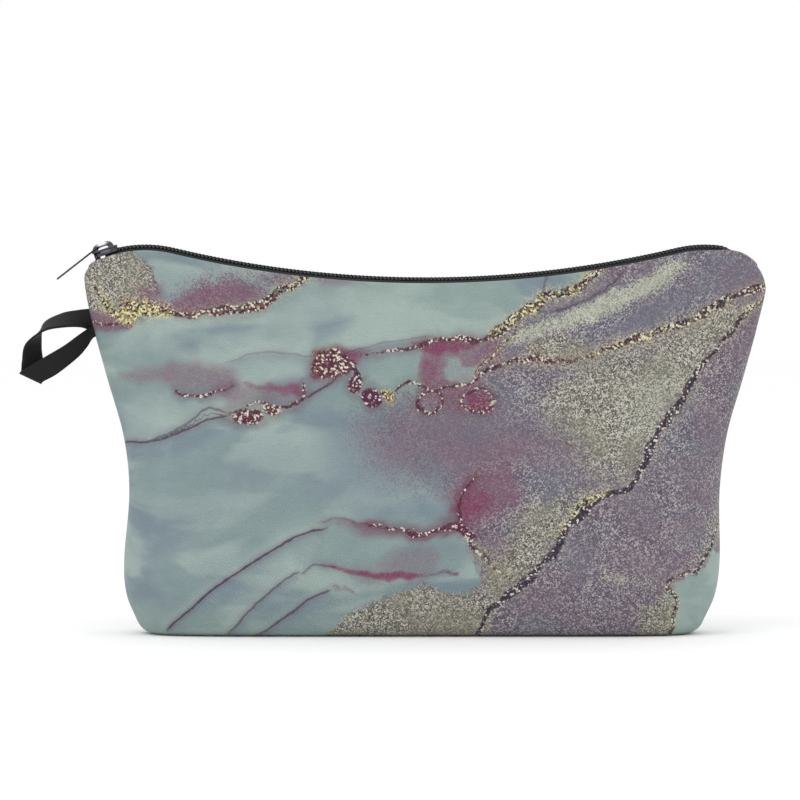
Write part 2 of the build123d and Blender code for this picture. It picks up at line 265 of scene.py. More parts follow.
def printedCanvas():
    # polyester canvas, woven and then heat-transfer printed: a dull surface with marbled inks and a printed
    # speckle that only imitates glitter
    material, tree = newMaterial("printedPolyesterCanvas")
    ink = {name: toLinear(shade) for name, shade in printColours.items()}
    place = addNode(tree, "Attribute", {"attribute_name": "clothPlace"}, {}, "Vector")
    field, noise, moved = {}, {}, {}
    for attribute, names in printAttributes.items():
        source = addNode(tree, "Attribute", {"attribute_name": attribute}, {}, "Vector")
        parts = addNode(tree, "SeparateXYZ", {}, {0: source}, None).outputs
        field.update(zip(names, parts))
    for name, (scale, detail, roughness, distortion, stretch, turn) in printGrain["noises"].items():
        turned = (0, 0, math.radians(turn))
        laid = addNode(tree, "Mapping", {}, {"Vector": place, "Scale": stretch, "Rotation": turned})
        noise[name] = addNode(tree, "TexNoise", {}, {"Vector": laid, "Scale": scale, "Detail": detail,
                                                     "Distortion": distortion, "Roughness": roughness})
    for name, (source, pattern, size) in printGrain["moves"].items():
        centred = addNode(tree, "Math", subtract, {0: noise[pattern], 1: 0.5})
        moved[name] = addNode(tree, "Math", multiplyAdd, {0: centred, 1: size, 2: field[source]})
    cells = []
    for size in (printGrain["speckle"], printGrain["flake"]):
        cell = addNode(tree, "TexVoronoi", {"feature": "F1"}, {"Vector": place, "Scale": 1 / size}, "Color")
        cells.append(addNode(tree, "SeparateColor", {}, {0: cell}, None).outputs)
    grain, flake = cells

    # the ground: teal, with brushy mint and slate patches that run gently uphill, and washes beside the lines
    teal = ink["teal"]
    washes = (
        # what drives the wash, where it starts, where it is full, its strength and its ink
        (softRange, noise["streak"], 0.58, 0.4, 0.8, "slate"),
        (softRange, noise["brush"], 0.46, 0.58, 0.85, "mint"),
        (evenRange, moved["slate"], 0.0, 1.0, 1.0, "slate"),
        (evenRange, moved["mint"], 0.0, 1.0, 1.0, "mint"),
        (softRange, field["lineShade"], 0.0, 0.9, 0.7, "slate"),
        (softRange, field["lineShade"], 0.0, -0.9, 0.75, "mint"),
    )
    for blend, driver, start, full, strength, name in washes:
        amount = addNode(tree, "MapRange", blend, {"Value": driver, "From Min": start, "From Max": full,
                                                   "To Max": strength})
        teal = addNode(tree, "Mix", colourMix, {0: amount, 6: teal, 7: ink[name]}, 2)

    # the speckled ground: mauve, turning olive and pale grain by grain, with smoother mauve bands
    amount = addNode(tree, "MapRange", softRange, {"Value": noise["patch"], "From Min": 0.35,
                                                   "From Max": 0.65})
    speckled = addNode(tree, "Mix", colourMix, {0: amount, 6: ink["mauve"], 7: ink["mauveWarm"]}, 2)
    for name, cell, spread, full in (("olive", grain[1], 0.7, 0.75), ("pale", grain[2], 0.8, 0.8)):
        centred = addNode(tree, "Math", subtract, {0: cell, 1: 0.5})
        spotted = addNode(tree, "Math", multiplyAdd, {0: centred, 1: spread, 2: moved[name]})
        amount = addNode(tree, "MapRange", softRange, {"Value": spotted, "From Min": 0.25, "From Max": full})
        speckled = addNode(tree, "Mix", colourMix, {0: amount, 6: speckled, 7: ink[name]}, 2)
    amount = addNode(tree, "MapRange", softRange, {"Value": moved["band"], "From Min": 0.3, "From Max": 0.8,
                                                   "To Max": 0.85})
    speckled = addNode(tree, "Mix", colourMix, {0: amount, 6: speckled, 7: ink["mauve"]}, 2)

    # its edge is crisp, except where it fades out over a few millimetres, grain by grain
    haze = field["haze"]
    centred = addNode(tree, "Math", subtract, {0: grain[1], 1: 0.5})
    scatter = addNode(tree, "Math", multiply, {0: haze, 1: 12.0})
    edge = addNode(tree, "Math", multiplyAdd, {0: centred, 1: scatter, 2: moved["ground"]})
    outer = addNode(tree, "Math", multiplyAdd, {0: haze, 1: 9.0, 2: 1.1})
    inner = addNode(tree, "Math", multiply, {0: outer, 1: -1.0})
    ground = addNode(tree, "MapRange", softRange, {"Value": edge, "From Min": outer, "From Max": inner})
    pocket = addNode(tree, "MapRange", softRange, {"Value": moved["pocket"], "From Min": 0.7,
                                                   "From Max": -0.7})
    outside = addNode(tree, "Math", subtract, {0: 1.0, 1: pocket})
    ground = addNode(tree, "Math", multiply, {0: ground, 1: outside})
    colour = addNode(tree, "Mix", colourMix, {0: ground, 6: teal, 7: speckled}, 2)

    # stains over both, thin in the teal pockets
    clear = addNode(tree, "Math", multiplyAdd, {0: pocket, 1: -0.75, 2: 1.0})
    stain = {}
    for name, start, full, strength in (("plum", 0.12, 0.9, 0.8), ("magenta", 0.2, 0.95, 0.9)):
        stain[name] = addNode(tree, "MapRange", softRange, {"Value": moved[name], "From Min": start,
                                                            "From Max": full})
        amount = addNode(tree, "Math", multiply, {0: stain[name], 1: clear})
        amount = addNode(tree, "Math", multiply, {0: amount, 1: strength})
        colour = addNode(tree, "Mix", colourMix, {0: amount, 6: colour, 7: ink[name]}, 2)

    # the speckle itself, strongest in the olive, calm under stains and haze and in the mauve bands
    strong = addNode(tree, "MapRange", softRange, {"Value": moved["olive"], "From Min": 0.2, "From Max": 0.8,
                                                   "To Min": 0.85, "To Max": 1.25})
    calm = addNode(tree, "Math", larger, {0: stain["plum"], 1: haze})
    lively = addNode(tree, "Math", multiplyAdd, {0: calm, 1: -0.75, 2: 1.0})
    cover = addNode(tree, "MapRange", softRange, {"Value": noise["cover"], "From Min": 0.35, "From Max": 0.6,
                                                  "To Min": 0.5, "To Max": 1.0})
    band = addNode(tree, "MapRange", softRange, {"Value": moved["band"], "From Min": 0.3, "From Max": 0.8,
                                                 "To Min": 1.0, "To Max": 0.5})
    onGround = addNode(tree, "Math", multiply, {0: strong, 1: lively})
    onGround = addNode(tree, "Math", multiply, {0: ground, 1: onGround})
    onStain = addNode(tree, "Math", multiply, {0: stain["plum"], 1: 0.2})
    speckle = addNode(tree, "Math", larger, {0: onGround, 1: onStain})
    for share in (cover, band):
        speckle = addNode(tree, "Math", multiply, {0: speckle, 1: share})
    for start, full, strength, name in ((0.55, 0.85, 0.6, "ink"), (0.42, 0.12, 0.58, "fleck")):
        amount = addNode(tree, "MapRange", softRange, {"Value": grain[0], "From Min": start, "From Max": full,
                                                       "To Max": strength})
        amount = addNode(tree, "Math", multiply, {0: amount, 1: speckle})
        colour = addNode(tree, "Mix", colourMix, {0: amount, 6: colour, 7: ink[name]}, 2)

    # thin ink lines in a plum haze
    gap = addNode(tree, "Math", {"operation": "ABSOLUTE"}, {0: moved["line"]})
    for start, full, strength, name in ((2.4, 0.2, 0.4, "plum"), (0.6, 0.1, 0.9, "ink")):
        amount = addNode(tree, "MapRange", softRange, {"Value": gap, "From Min": start, "From Max": full,
                                                       "To Max": strength})
        amount = addNode(tree, "Math", multiply, {0: amount, 1: field["lineStrength"]})
        colour = addNode(tree, "Mix", colourMix, {0: amount, 6: colour, 7: ink[name]}, 2)

    # round the veins: gold dust, and a wine-red glow
    glow = addNode(tree, "MapRange", softRange, {"Value": moved["vein"], "From Min": 3.2, "From Max": 0.0})
    dust = addNode(tree, "MapRange", softRange, {"Value": grain[2], "From Min": 0.45, "From Max": 0.8,
                                                 "To Max": 0.75})
    for share, strength, name in ((field["veinGold"], dust, "gold"), (field["veinWine"], 0.4, "wine")):
        amount = addNode(tree, "Math", multiply, {0: glow, 1: share})
        amount = addNode(tree, "Math", multiply, {0: amount, 1: strength})
        colour = addNode(tree, "Mix", colourMix, {0: amount, 6: colour, 7: ink[name]}, 2)

    # the veins: dark flakes with light ones between them, and gold ones where the vein carries gold
    reddish = addNode(tree, "Math", add, {0: flake[2], 1: field["veinWine"]})
    reddish = addNode(tree, "MapRange", softRange, {"Value": reddish, "From Min": 0.85, "From Max": 1.05})
    dark = addNode(tree, "Mix", colourMix, {0: reddish, 6: ink["ink"], 7: ink["wine"]}, 2)
    bright = addNode(tree, "Mix", colourMix, {0: field["veinGold"], 6: ink["fleck"], 7: ink["gold"]}, 2)
    amount = addNode(tree, "Math", multiplyAdd, {0: field["veinGold"], 1: 0.36, 2: flake[0]})
    amount = addNode(tree, "MapRange", softRange, {"Value": amount, "From Min": 0.82, "From Max": 0.92})
    vein = addNode(tree, "Mix", colourMix, {0: amount, 6: dark, 7: bright}, 2)
    amount = addNode(tree, "MapRange", softRange, {"Value": flake[1], "From Min": 0.55, "From Max": 0.75})
    amount = addNode(tree, "Math", multiply, {0: amount, 1: field["veinGold"]})
    vein = addNode(tree, "Mix", colourMix, {0: amount, 6: vein, 7: ink["goldShade"]}, 2)
    body = addNode(tree, "MapRange", softRange, {"Value": moved["vein"], "From Min": 0.3, "From Max": -0.3})
    cracks = addNode(tree, "MapRange", softRange, {"Value": grain[1], "From Min": 0.04, "From Max": 0.14})
    body = addNode(tree, "Math", multiply, {0: body, 1: cracks})
    colour = addNode(tree, "Mix", colourMix, {0: body, 6: colour, 7: vein}, 2)

    # the weave, and a slow change of tone over the cloth
    weave = weaveHeight(tree, place, printGrain["threads"])
    slub = addNode(tree, "Math", multiplyAdd, {0: noise["slub"], 1: 0.14, 2: 0.64})
    tone = addNode(tree, "Math", multiplyAdd, {0: weave, 1: 0.2, 2: slub})
    centred = addNode(tree, "Math", subtract, {0: noise["drift"], 1: 0.5})
    tone = addNode(tree, "Math", multiplyAdd, {0: centred, 1: 0.2, 2: tone})
    toned = addNode(tree, "VectorMath", {"operation": "SCALE"}, {0: colour, "Scale": tone})
    bump = addNode(tree, "Bump", {}, {"Height": weave, "Strength": 0.35, "Distance": 0.00012})
    shader = addNode(tree, "BsdfPrincipled", {}, {
        "Base Color": toned, "Normal": bump, "Roughness": 0.82, "IOR": 1.5, "Specular IOR Level": 0.3,
        "Sheen Weight": 0.08, "Sheen Roughness": 0.5})
    addNode(tree, "OutputMaterial", {}, {"Surface": shader}, None)
    return material


def weaveHeight(tree, place, pitch):
    # how high the threads of a plain weave stand, from 0 to 1, with threads pitch millimetres apart
    parts = addNode(tree, "SeparateXYZ", {}, {0: place}, None).outputs
    waves = []
    for part in parts[:2]:
        turns = addNode(tree, "Math", multiply, {0: part, 1: 2 * math.pi / pitch})
        waves.append(addNode(tree, "Math", sine, {0: turns}))
    crossed = addNode(tree, "Math", multiply, {0: waves[0], 1: waves[1]})
    return addNode(tree, "Math", multiplyAdd, {0: crossed, 1: 0.5, 2: 0.5})


def wovenMaterial(name, dark, light, pitch, finish):
    # plain woven cloth with threads pitch mm apart, laid out by the clothPlace of the mesh
    material, tree = newMaterial(name)
    place = addNode(tree, "Attribute", {"attribute_name": "clothPlace"}, {}, "Vector")
    weave = weaveHeight(tree, place, pitch)
    fuzz = addNode(tree, "TexNoise", {}, {"Vector": place, "Scale": 0.9, "Detail": 4})
    softened = addNode(tree, "Math", multiply, {0: fuzz, 1: 0.4})
    amount = addNode(tree, "Math", multiplyAdd, {0: weave, 1: 0.6, 2: softened})
    colour = addNode(tree, "Mix", colourMix, {0: amount, 6: toLinear(dark), 7: toLinear(light)}, 2)
    bump = addNode(tree, "Bump", {}, {"Height": weave, "Strength": 0.5, "Distance": 0.0001})
    shader = addNode(tree, "BsdfPrincipled", {}, {"Base Color": colour, "Normal": bump, "IOR": 1.5, **finish})
    addNode(tree, "OutputMaterial", {}, {"Surface": shader}, None)
    return material


def liningTaffeta():
    # polyester taffeta, plain woven: smoother than the canvas, with a soft gloss
    return wovenMaterial("liningPolyesterTaffeta", "#1B1B1F", "#2B2B30", 0.6,
                         {"Roughness": 0.55, "Sheen Weight": 0.1})


def tapeTwill():
    # zipper tape, polyester woven in a herringbone: dull black
    return wovenMaterial("zipperTapePolyester", "#1A1B1C", "#2B2D2D", 0.8,
                         {"Roughness": 0.85, "Specular IOR Level": 0.25})


def bindingWeave():
    # woven polyester binding, folded over raw edges: dull, with a visible plain weave
    return wovenMaterial("bindingPolyesterTape", "#131316", "#28282C", 0.7,
                         {"Roughness": 0.75, "Sheen Weight": 0.15})


def ribbonGrosgrain():
    # polyester grosgrain: thick weft ribs across the ribbon, 0.9 mm apart, soft gloss along the ribs
    material, tree = newMaterial("ribbonPolyesterGrosgrain")
    place = addNode(tree, "Attribute", {"attribute_name": "clothPlace"}, {}, "Vector")
    parts = addNode(tree, "SeparateXYZ", {}, {0: place}, None).outputs
    waves = []
    for part, pitch in ((parts[0], 0.9), (parts[1], 0.7)):
        turns = addNode(tree, "Math", multiply, {0: part, 1: 2 * math.pi / pitch})
        wave = addNode(tree, "Math", sine, {0: turns})
        waves.append(addNode(tree, "Math", multiplyAdd, {0: wave, 1: 0.5, 2: 0.5}))
    rib, thread = waves
    fuzz = addNode(tree, "TexNoise", {}, {"Vector": place, "Scale": 1.4, "Detail": 3})
    softened = addNode(tree, "Math", multiply, {0: fuzz, 1: 0.45})
    tone = addNode(tree, "Math", multiplyAdd, {0: rib, 1: 0.55, 2: softened})
    colour = addNode(tree, "Mix", colourMix, {0: tone, 6: toLinear("#09090A"), 7: toLinear("#19191B")}, 2)
    height = addNode(tree, "Math", multiplyAdd, {0: thread, 1: 0.3, 2: rib})
    bump = addNode(tree, "Bump", {}, {"Height": height, "Strength": 0.4, "Distance": 0.00015})
    shader = addNode(tree, "BsdfPrincipled", {}, {
        "Base Color": colour, "Normal": bump, "Roughness": 0.7, "IOR": 1.5, "Specular IOR Level": 0.25,
        "Sheen Weight": 0.05, "Sheen Roughness": 0.4})
    addNode(tree, "OutputMaterial", {}, {"Surface": shader}, None)
    return material


def coilNylon():
    # black nylon monofilament, drawn and heat set: smooth, with small bright glints
    material, tree = newMaterial("coilNylonMonofilament")
    place = addNode(tree, "TexCoord", {}, {}, "Object")
    shade = addNode(tree, "TexNoise", {}, {"Vector": place, "Scale": 900, "Detail": 2})
    colour = addNode(tree, "Mix", colourMix, {0: shade, 6: toLinear("#1E2021"), 7: toLinear("#3E4242")}, 2)
    rough = addNode(tree, "Math", multiplyAdd, {0: shade, 1: 0.15, 2: 0.3})
    shader = addNode(tree, "BsdfPrincipled", {}, {"Base Color": colour, "Roughness": rough, "IOR": 1.53})
    addNode(tree, "OutputMaterial", {}, {"Surface": shader}, None)
    return material


def sliderZinc():
    # die-cast zinc, barrel polished and plated gunmetal: dark mirror with soft handling marks, and a painted
    # highlight, a near-white colour on the middle of the bridge
    material, tree = newMaterial("sliderGunmetalZinc")
    place = addNode(tree, "TexCoord", {}, {}, "Object")
    marks = addNode(tree, "TexNoise", {}, {"Vector": place, "Scale": 700, "Detail": 5})
    plating = addNode(tree, "Mix", colourMix, {0: marks, 6: toLinear("#36363C"), 7: toLinear("#5C5C63")}, 2)
    # painted highlight: the middle of the bridge is coloured near white
    highlightShare = addNode(tree, "Attribute", {"attribute_name": "paintedHighlight"}, {}, "Fac")
    colour = addNode(tree, "Mix", colourMix, {0: highlightShare, 6: plating, 7: toLinear("#E4E4E6")}, 2)
    rough = addNode(tree, "Math", multiplyAdd, {0: marks, 1: 0.2, 2: 0.12})
    bump = addNode(tree, "Bump", {}, {"Height": marks, "Strength": 0.08, "Distance": 0.0001})
    shader = addNode(tree, "BsdfPrincipled", {}, {
        "Base Color": colour, "Roughness": rough, "Normal": bump, "Metallic": 1.0})
    addNode(tree, "OutputMaterial", {}, {"Surface": shader}, None)
    return material


def tabSteel():
    # stamped steel with black electrophoretic paint: satin, worn a little lighter in places
    material, tree = newMaterial("tabBlackPaintedSteel")
    place = addNode(tree, "TexCoord", {}, {}, "Object")
    marks = addNode(tree, "TexNoise", {}, {"Vector": place, "Scale": 500, "Detail": 4})
    colour = addNode(tree, "Mix", colourMix, {0: marks, 6: toLinear("#101012"), 7: toLinear("#26262A")}, 2)
    rough = addNode(tree, "Math", multiplyAdd, {0: marks, 1: 0.2, 2: 0.28})
    bump = addNode(tree, "Bump", {}, {"Height": marks, "Strength": 0.1, "Distance": 0.0001})
    shader = addNode(tree, "BsdfPrincipled", {}, {
        "Base Color": colour, "Roughness": rough, "Normal": bump, "IOR": 1.5})
    addNode(tree, "OutputMaterial", {}, {"Surface": shader}, None)
    return material


def sewingThread():
    # spun polyester thread: two plies twisted, soft
    material, tree = newMaterial("threadSpunPolyester")
    place = addNode(tree, "TexCoord", {}, {}, "Object")
    twist = addNode(tree, "TexNoise", {}, {"Vector": place, "Scale": 2500, "Detail": 3})
    colour = addNode(tree, "Mix", colourMix, {0: twist, 6: toLinear("#1A1A1D"), 7: toLinear("#3A3A40")}, 2)
    bump = addNode(tree, "Bump", {}, {"Height": twist, "Strength": 0.4, "Distance": 0.0001})
    shader = addNode(tree, "BsdfPrincipled", {}, {
        "Base Color": colour, "Normal": bump, "Roughness": 0.8, "IOR": 1.5})
    addNode(tree, "OutputMaterial", {}, {"Surface": shader}, None)
    return material


finishes = {
    "printed_cloth": printedCanvas(),
    "lining_cloth": liningTaffeta(),
    "zipper_tape": tapeTwill(),
    "binding_tape": bindingWeave(),
    "coil_nylon": coilNylon(),
    "slider_metal": sliderZinc(),
    "tab_metal": tabSteel(),
    "ribbon": ribbonGrosgrain(),
    "thread": sewingThread(),
}
print("materials made:", len(finishes))


def dress(piece, slotName):
    piece.data.materials.clear()
    piece.data.materials.append(finishes[slotName])
    return piece


# the pouch's shape

pouch = {
    "baseTop": 4.2,            # where the walls begin
    "heights": [4.2, 12, 24, 44, 64, 84, 102, 114, 128],
    "halfWidths": [92.6, 96, 97.3, 96.4, 98.4, 104, 108.8, 110.8, 111],
    "halfDepths": [20.6, 23.4, 24.7, 22.9, 19.0, 14.2, 9.4, 6.6, 5.6],
    "squareness": [8, 7.5, 6.5, 5.4, 5.2, 6, 8, 10, 10],
    "roundness": [0.455, 0.47, 0.5, 0.53, 0.54, 0.54, 0.52, 0.5, 0.5],
    "zipMiddle": 115.2,        # height of the zipper line at the middle
    "sag": 11.6,
    "sagHalfChord": 90,
    "shoulderStart": 82,
    "shoulderRadius": 40,
    "corners": {-1: (106, 8), 1: (101.2, 13)},   # where each top corner begins, and its radius
    "bottomShift": -1.6,       # the soft base has slid a little to the left
    "baseLean": 0.36,          # how far the walls lean out where they meet the base, in radians
    "clothThickness": 0.6,
    "clothDrop": 1.0,         # the cloth's folded edge lies this far below the zipper line
    "cornerLift": 1.1,         # and this much higher where it closes over the chain's end
    "foldRadius": 0.7,
    "liningInset": 1.3,
    "liningDrop": 1.8,
    "meshStep": 0.8,
}

sagRadius = (pouch["sagHalfChord"]**2 + pouch["sag"]**2) / (2 * pouch["sag"])
sagCentre = pouch["zipMiddle"] + sagRadius
sagAngle = math.asin(pouch["shoulderStart"] / sagRadius)
shoulderX = pouch["shoulderStart"] + pouch["shoulderRadius"] * math.sin(sagAngle)
shoulderZ = sagCentre - (sagRadius + pouch["shoulderRadius"]) * math.cos(sagAngle)


def zipHeight(x, drop=0.0):
    x = np.abs(np.asarray(x, float))
    middle = sagCentre - np.sqrt((sagRadius + drop)**2 - np.minimum(x, pouch["shoulderStart"] + 5)**2)
    reach = pouch["shoulderRadius"] - drop
    shoulder = shoulderZ + np.sqrt(np.maximum(reach**2 - (x - shoulderX)**2, 0))
    return np.where(x < pouch["shoulderStart"], middle, shoulder)


def topEdge(drop, side):
    # one half of the cloth's top edge, from the middle of the rounded corner in, and the corner's other half
    chainEnd, radius = pouch["corners"][side]
    endAngle = math.asin((chainEnd - shoulderX) / pouch["shoulderRadius"])
    cornerX = chainEnd - radius * math.sin(endAngle)
    cornerZ = shoulderZ + (pouch["shoulderRadius"] - radius) * math.cos(endAngle)
    lifted = drop - pouch["cornerLift"] * (side > 0)
    outward, upward = radius + 0.15, radius - lifted
    middle = (endAngle + math.pi / 2) / 2
    turns = np.linspace(middle, endAngle, 14)
    corner = np.stack([cornerX + outward * np.sin(turns), cornerZ + upward * np.cos(turns)], 1)
    x = np.linspace(corner[-1, 0], 0, 160)[1:]
    line = zipHeight(x, drop) + (drop - lifted) * smoothStep(chainEnd - 9, chainEnd, x)
    top = np.vstack([corner, np.stack([x, line], 1)])
    turns = np.linspace(math.pi / 2, middle, 12)
    lower = np.stack([cornerX + outward * np.sin(turns), cornerZ + upward * np.cos(turns)], 1)
    return top * (side, 1), lower * (side, 1)


def evenly(line, count):
    steps = np.concatenate([[0], np.cumsum(np.linalg.norm(np.diff(line, axis=0), axis=1))])
    at = np.linspace(0, steps[-1], count)
    return np.stack([np.interp(at, steps, line[:, i]) for i in range(line.shape[1])], 1)


def halfWidthAt(z):
    return smoothTable(z, pouch["heights"], pouch["halfWidths"])


def wallOutline(rows, columns, drop):
    # the front view of a wall as a grid of x and z, with its rounded top corners
    sides, tops = [], []
    for side in (-1, 1):
        top, corner = topEdge(drop, side)
        heights = np.linspace(pouch["baseTop"], corner[0, 1], 120)
        edge = np.stack([side * halfWidthAt(heights), heights], 1)
        edge[:, 0] *= 1 + (corner[0, 0] / edge[-1, 0] - 1) * smoothStep(100, corner[0, 1], heights)
        sides.append(evenly(np.vstack([edge, corner[1:]]), rows))
        tops.append(top)
    left, right = sides
    top = evenly(np.vstack([tops[0], tops[1][::-1][1:]]), columns)
    foot = np.stack([np.linspace(left[0, 0], right[0, 0], columns), np.full(columns, pouch["baseTop"])], 1)
    s = np.linspace(0, 1, columns)[None, :, None]
    t = np.linspace(0, 1, rows)[:, None, None]
    grid = (1 - t) * foot[None] + t * top[None] + (1 - s) * left[:, None] + s * right[:, None]
    grid -= (1 - s) * (1 - t) * left[0] + s * (1 - t) * right[0] + (1 - s) * t * left[-1] + s * t * right[-1]
    return grid


folds = {
    # soft creases: from, to, width and depth, in front-view millimetres
    "front": [
        ((-112, 92), (-60, 96), 5.0, 0.55),
        ((-106, 74), (-52, 84), 7.0, 0.5),
        ((-100, 40), (-70, 24), 8.0, 0.7),
        ((-34, 70), (-30, 40), 4.0, 0.45),
        ((10, 100), (22, 60), 9.0, 0.5),
        ((100, 84), (62, 70), 7.0, 0.6),
        ((98, 34), (66, 22), 8.0, 0.7),
        ((-80, 12), (80, 13), 5.0, 0.5),
        ((50, 110), (96, 116), 5.0, 0.4),
        ((-97, 101), (-95, 90), 1.6, 0.3),
    ],
    "back": [
        ((-108, 88), (-58, 80), 7.0, 0.6),
        ((104, 90), (48, 86), 6.0, 0.55),
        ((-97, 36), (-64, 26), 8.0, 0.7),
        ((97, 40), (60, 30), 8.0, 0.7),
        ((0, 104), (-8, 60), 9.0, 0.5),
        ((-80, 12), (80, 12), 5.0, 0.5),
    ],
}


def creases(x, z, word):
    height = 1.3 * layeredUnevenness(x, z, 46, 11 if word == "front" else 23, 2)
    for start, end, width, depth in folds[word]:
        start, end = np.array(start, float), np.array(end, float)
        along = end - start
        t = ((x - start[0]) * along[0] + (z - start[1]) * along[1]) / (along @ along)
        wander = 2.0 * unevenness(t * 3, width + 0 * t, 1.0, int(abs(start[0])) + 3)
        gap = ((x - start[0]) * -along[1] + (z - start[1]) * along[0]) / np.linalg.norm(along) + wander
        taper = smoothStep(-0.1, 0.25, t) * (1 - smoothStep(0.7, 1.15, t))
        dip = np.exp(-(gap / width)**2)
        ridge = np.exp(-((gap - 1.7 * width) / width)**2)
        height = height - depth * taper * (dip - 0.5 * ridge)
    return height


def wallDepth(u, z):
    # how far the wall stands from the middle plane, u being the share of the half width
    depth = smoothTable(z, pouch["heights"], pouch["halfDepths"])
    square = smoothTable(z, pouch["heights"], pouch["squareness"])
    bulge = smoothTable(z, pouch["heights"], pouch["roundness"])
    return 0.25 + depth * np.maximum(1 - np.abs(u)**square, 0)**bulge


def wallSurface(word, inset=0.0, drop=None, step=None):
    # the wall's surface moved inwards by inset, with the arc length across each row
    step = step or pouch["meshStep"]
    rows, columns = int(122 / step), 2 * int(112 / step) + 1
    flat = wallOutline(rows, columns, pouch["clothDrop"] + pouch["foldRadius"] if drop is None else drop)
    x, z = flat[..., 0], flat[..., 1]
    # columns gather at the side seams, where the cloth turns sharply
    u = np.linspace(-1, 1, columns)
    u = np.sin(u * math.pi / 2) * 0.35 + u * 0.65
    at = (u + 1) / 2 * (columns - 1)
    x = np.stack([np.interp(at, np.arange(columns), row) for row in x])
    z = np.stack([np.interp(at, np.arange(columns), row) for row in z])
    u = u[None, :] * np.ones((rows, 1))
    y = -wallDepth(u, z)
    t = np.linspace(0, 1, rows)[:, None]
    keep = smoothStep(0, 0.12, t) * smoothStep(0, 0.1, 1 - t) * smoothStep(0, 0.16, 1 - np.abs(u))
    y = y - creases(x, z, word) * keep
    pucker = 0.22 * np.sin(z * 2 * math.pi / 5.2 + 1.3 * np.sin(z / 9)) * np.exp(-((1 - np.abs(u)) / 0.03)**2)
    y = y - pucker * smoothStep(0, 0.1, t) * smoothStep(0, 0.06, 1 - t)
    grid = np.stack([x, y, z], -1)
    grid[:, 0, 1] = grid[:, -1, 1] = -0.25
    if inset:
        normal = np.cross(np.gradient(grid, axis=1), np.gradient(grid, axis=0))
        normal /= np.linalg.norm(normal, axis=-1)[..., None]
        grid = grid - normal * inset
        grid[..., 1] = np.minimum(grid[..., 1], -0.3)
        grid[..., 0] = np.clip(grid[..., 0], -halfWidthAt(z) + inset, halfWidthAt(z) - inset)
    grid[..., 0] += pouch["bottomShift"] * smoothStep(60, 0, grid[..., 2])
    steps = np.linalg.norm(np.diff(grid[..., :2], axis=1), axis=-1)
    arc = np.concatenate([np.zeros((rows, 1)), np.cumsum(steps, 1)], 1)
    arc -= arc[:, columns // 2][:, None]
    return grid, arc


def facing(word):
    return 1 if word == "front" else -1


def turned(grid, word):
    return grid * (1, facing(word), 1)


view = {"lens": 250, "elevation": 1.7, "aim": (-8.2, 0, 76.0), "across": 261.2, "sensor": 36}
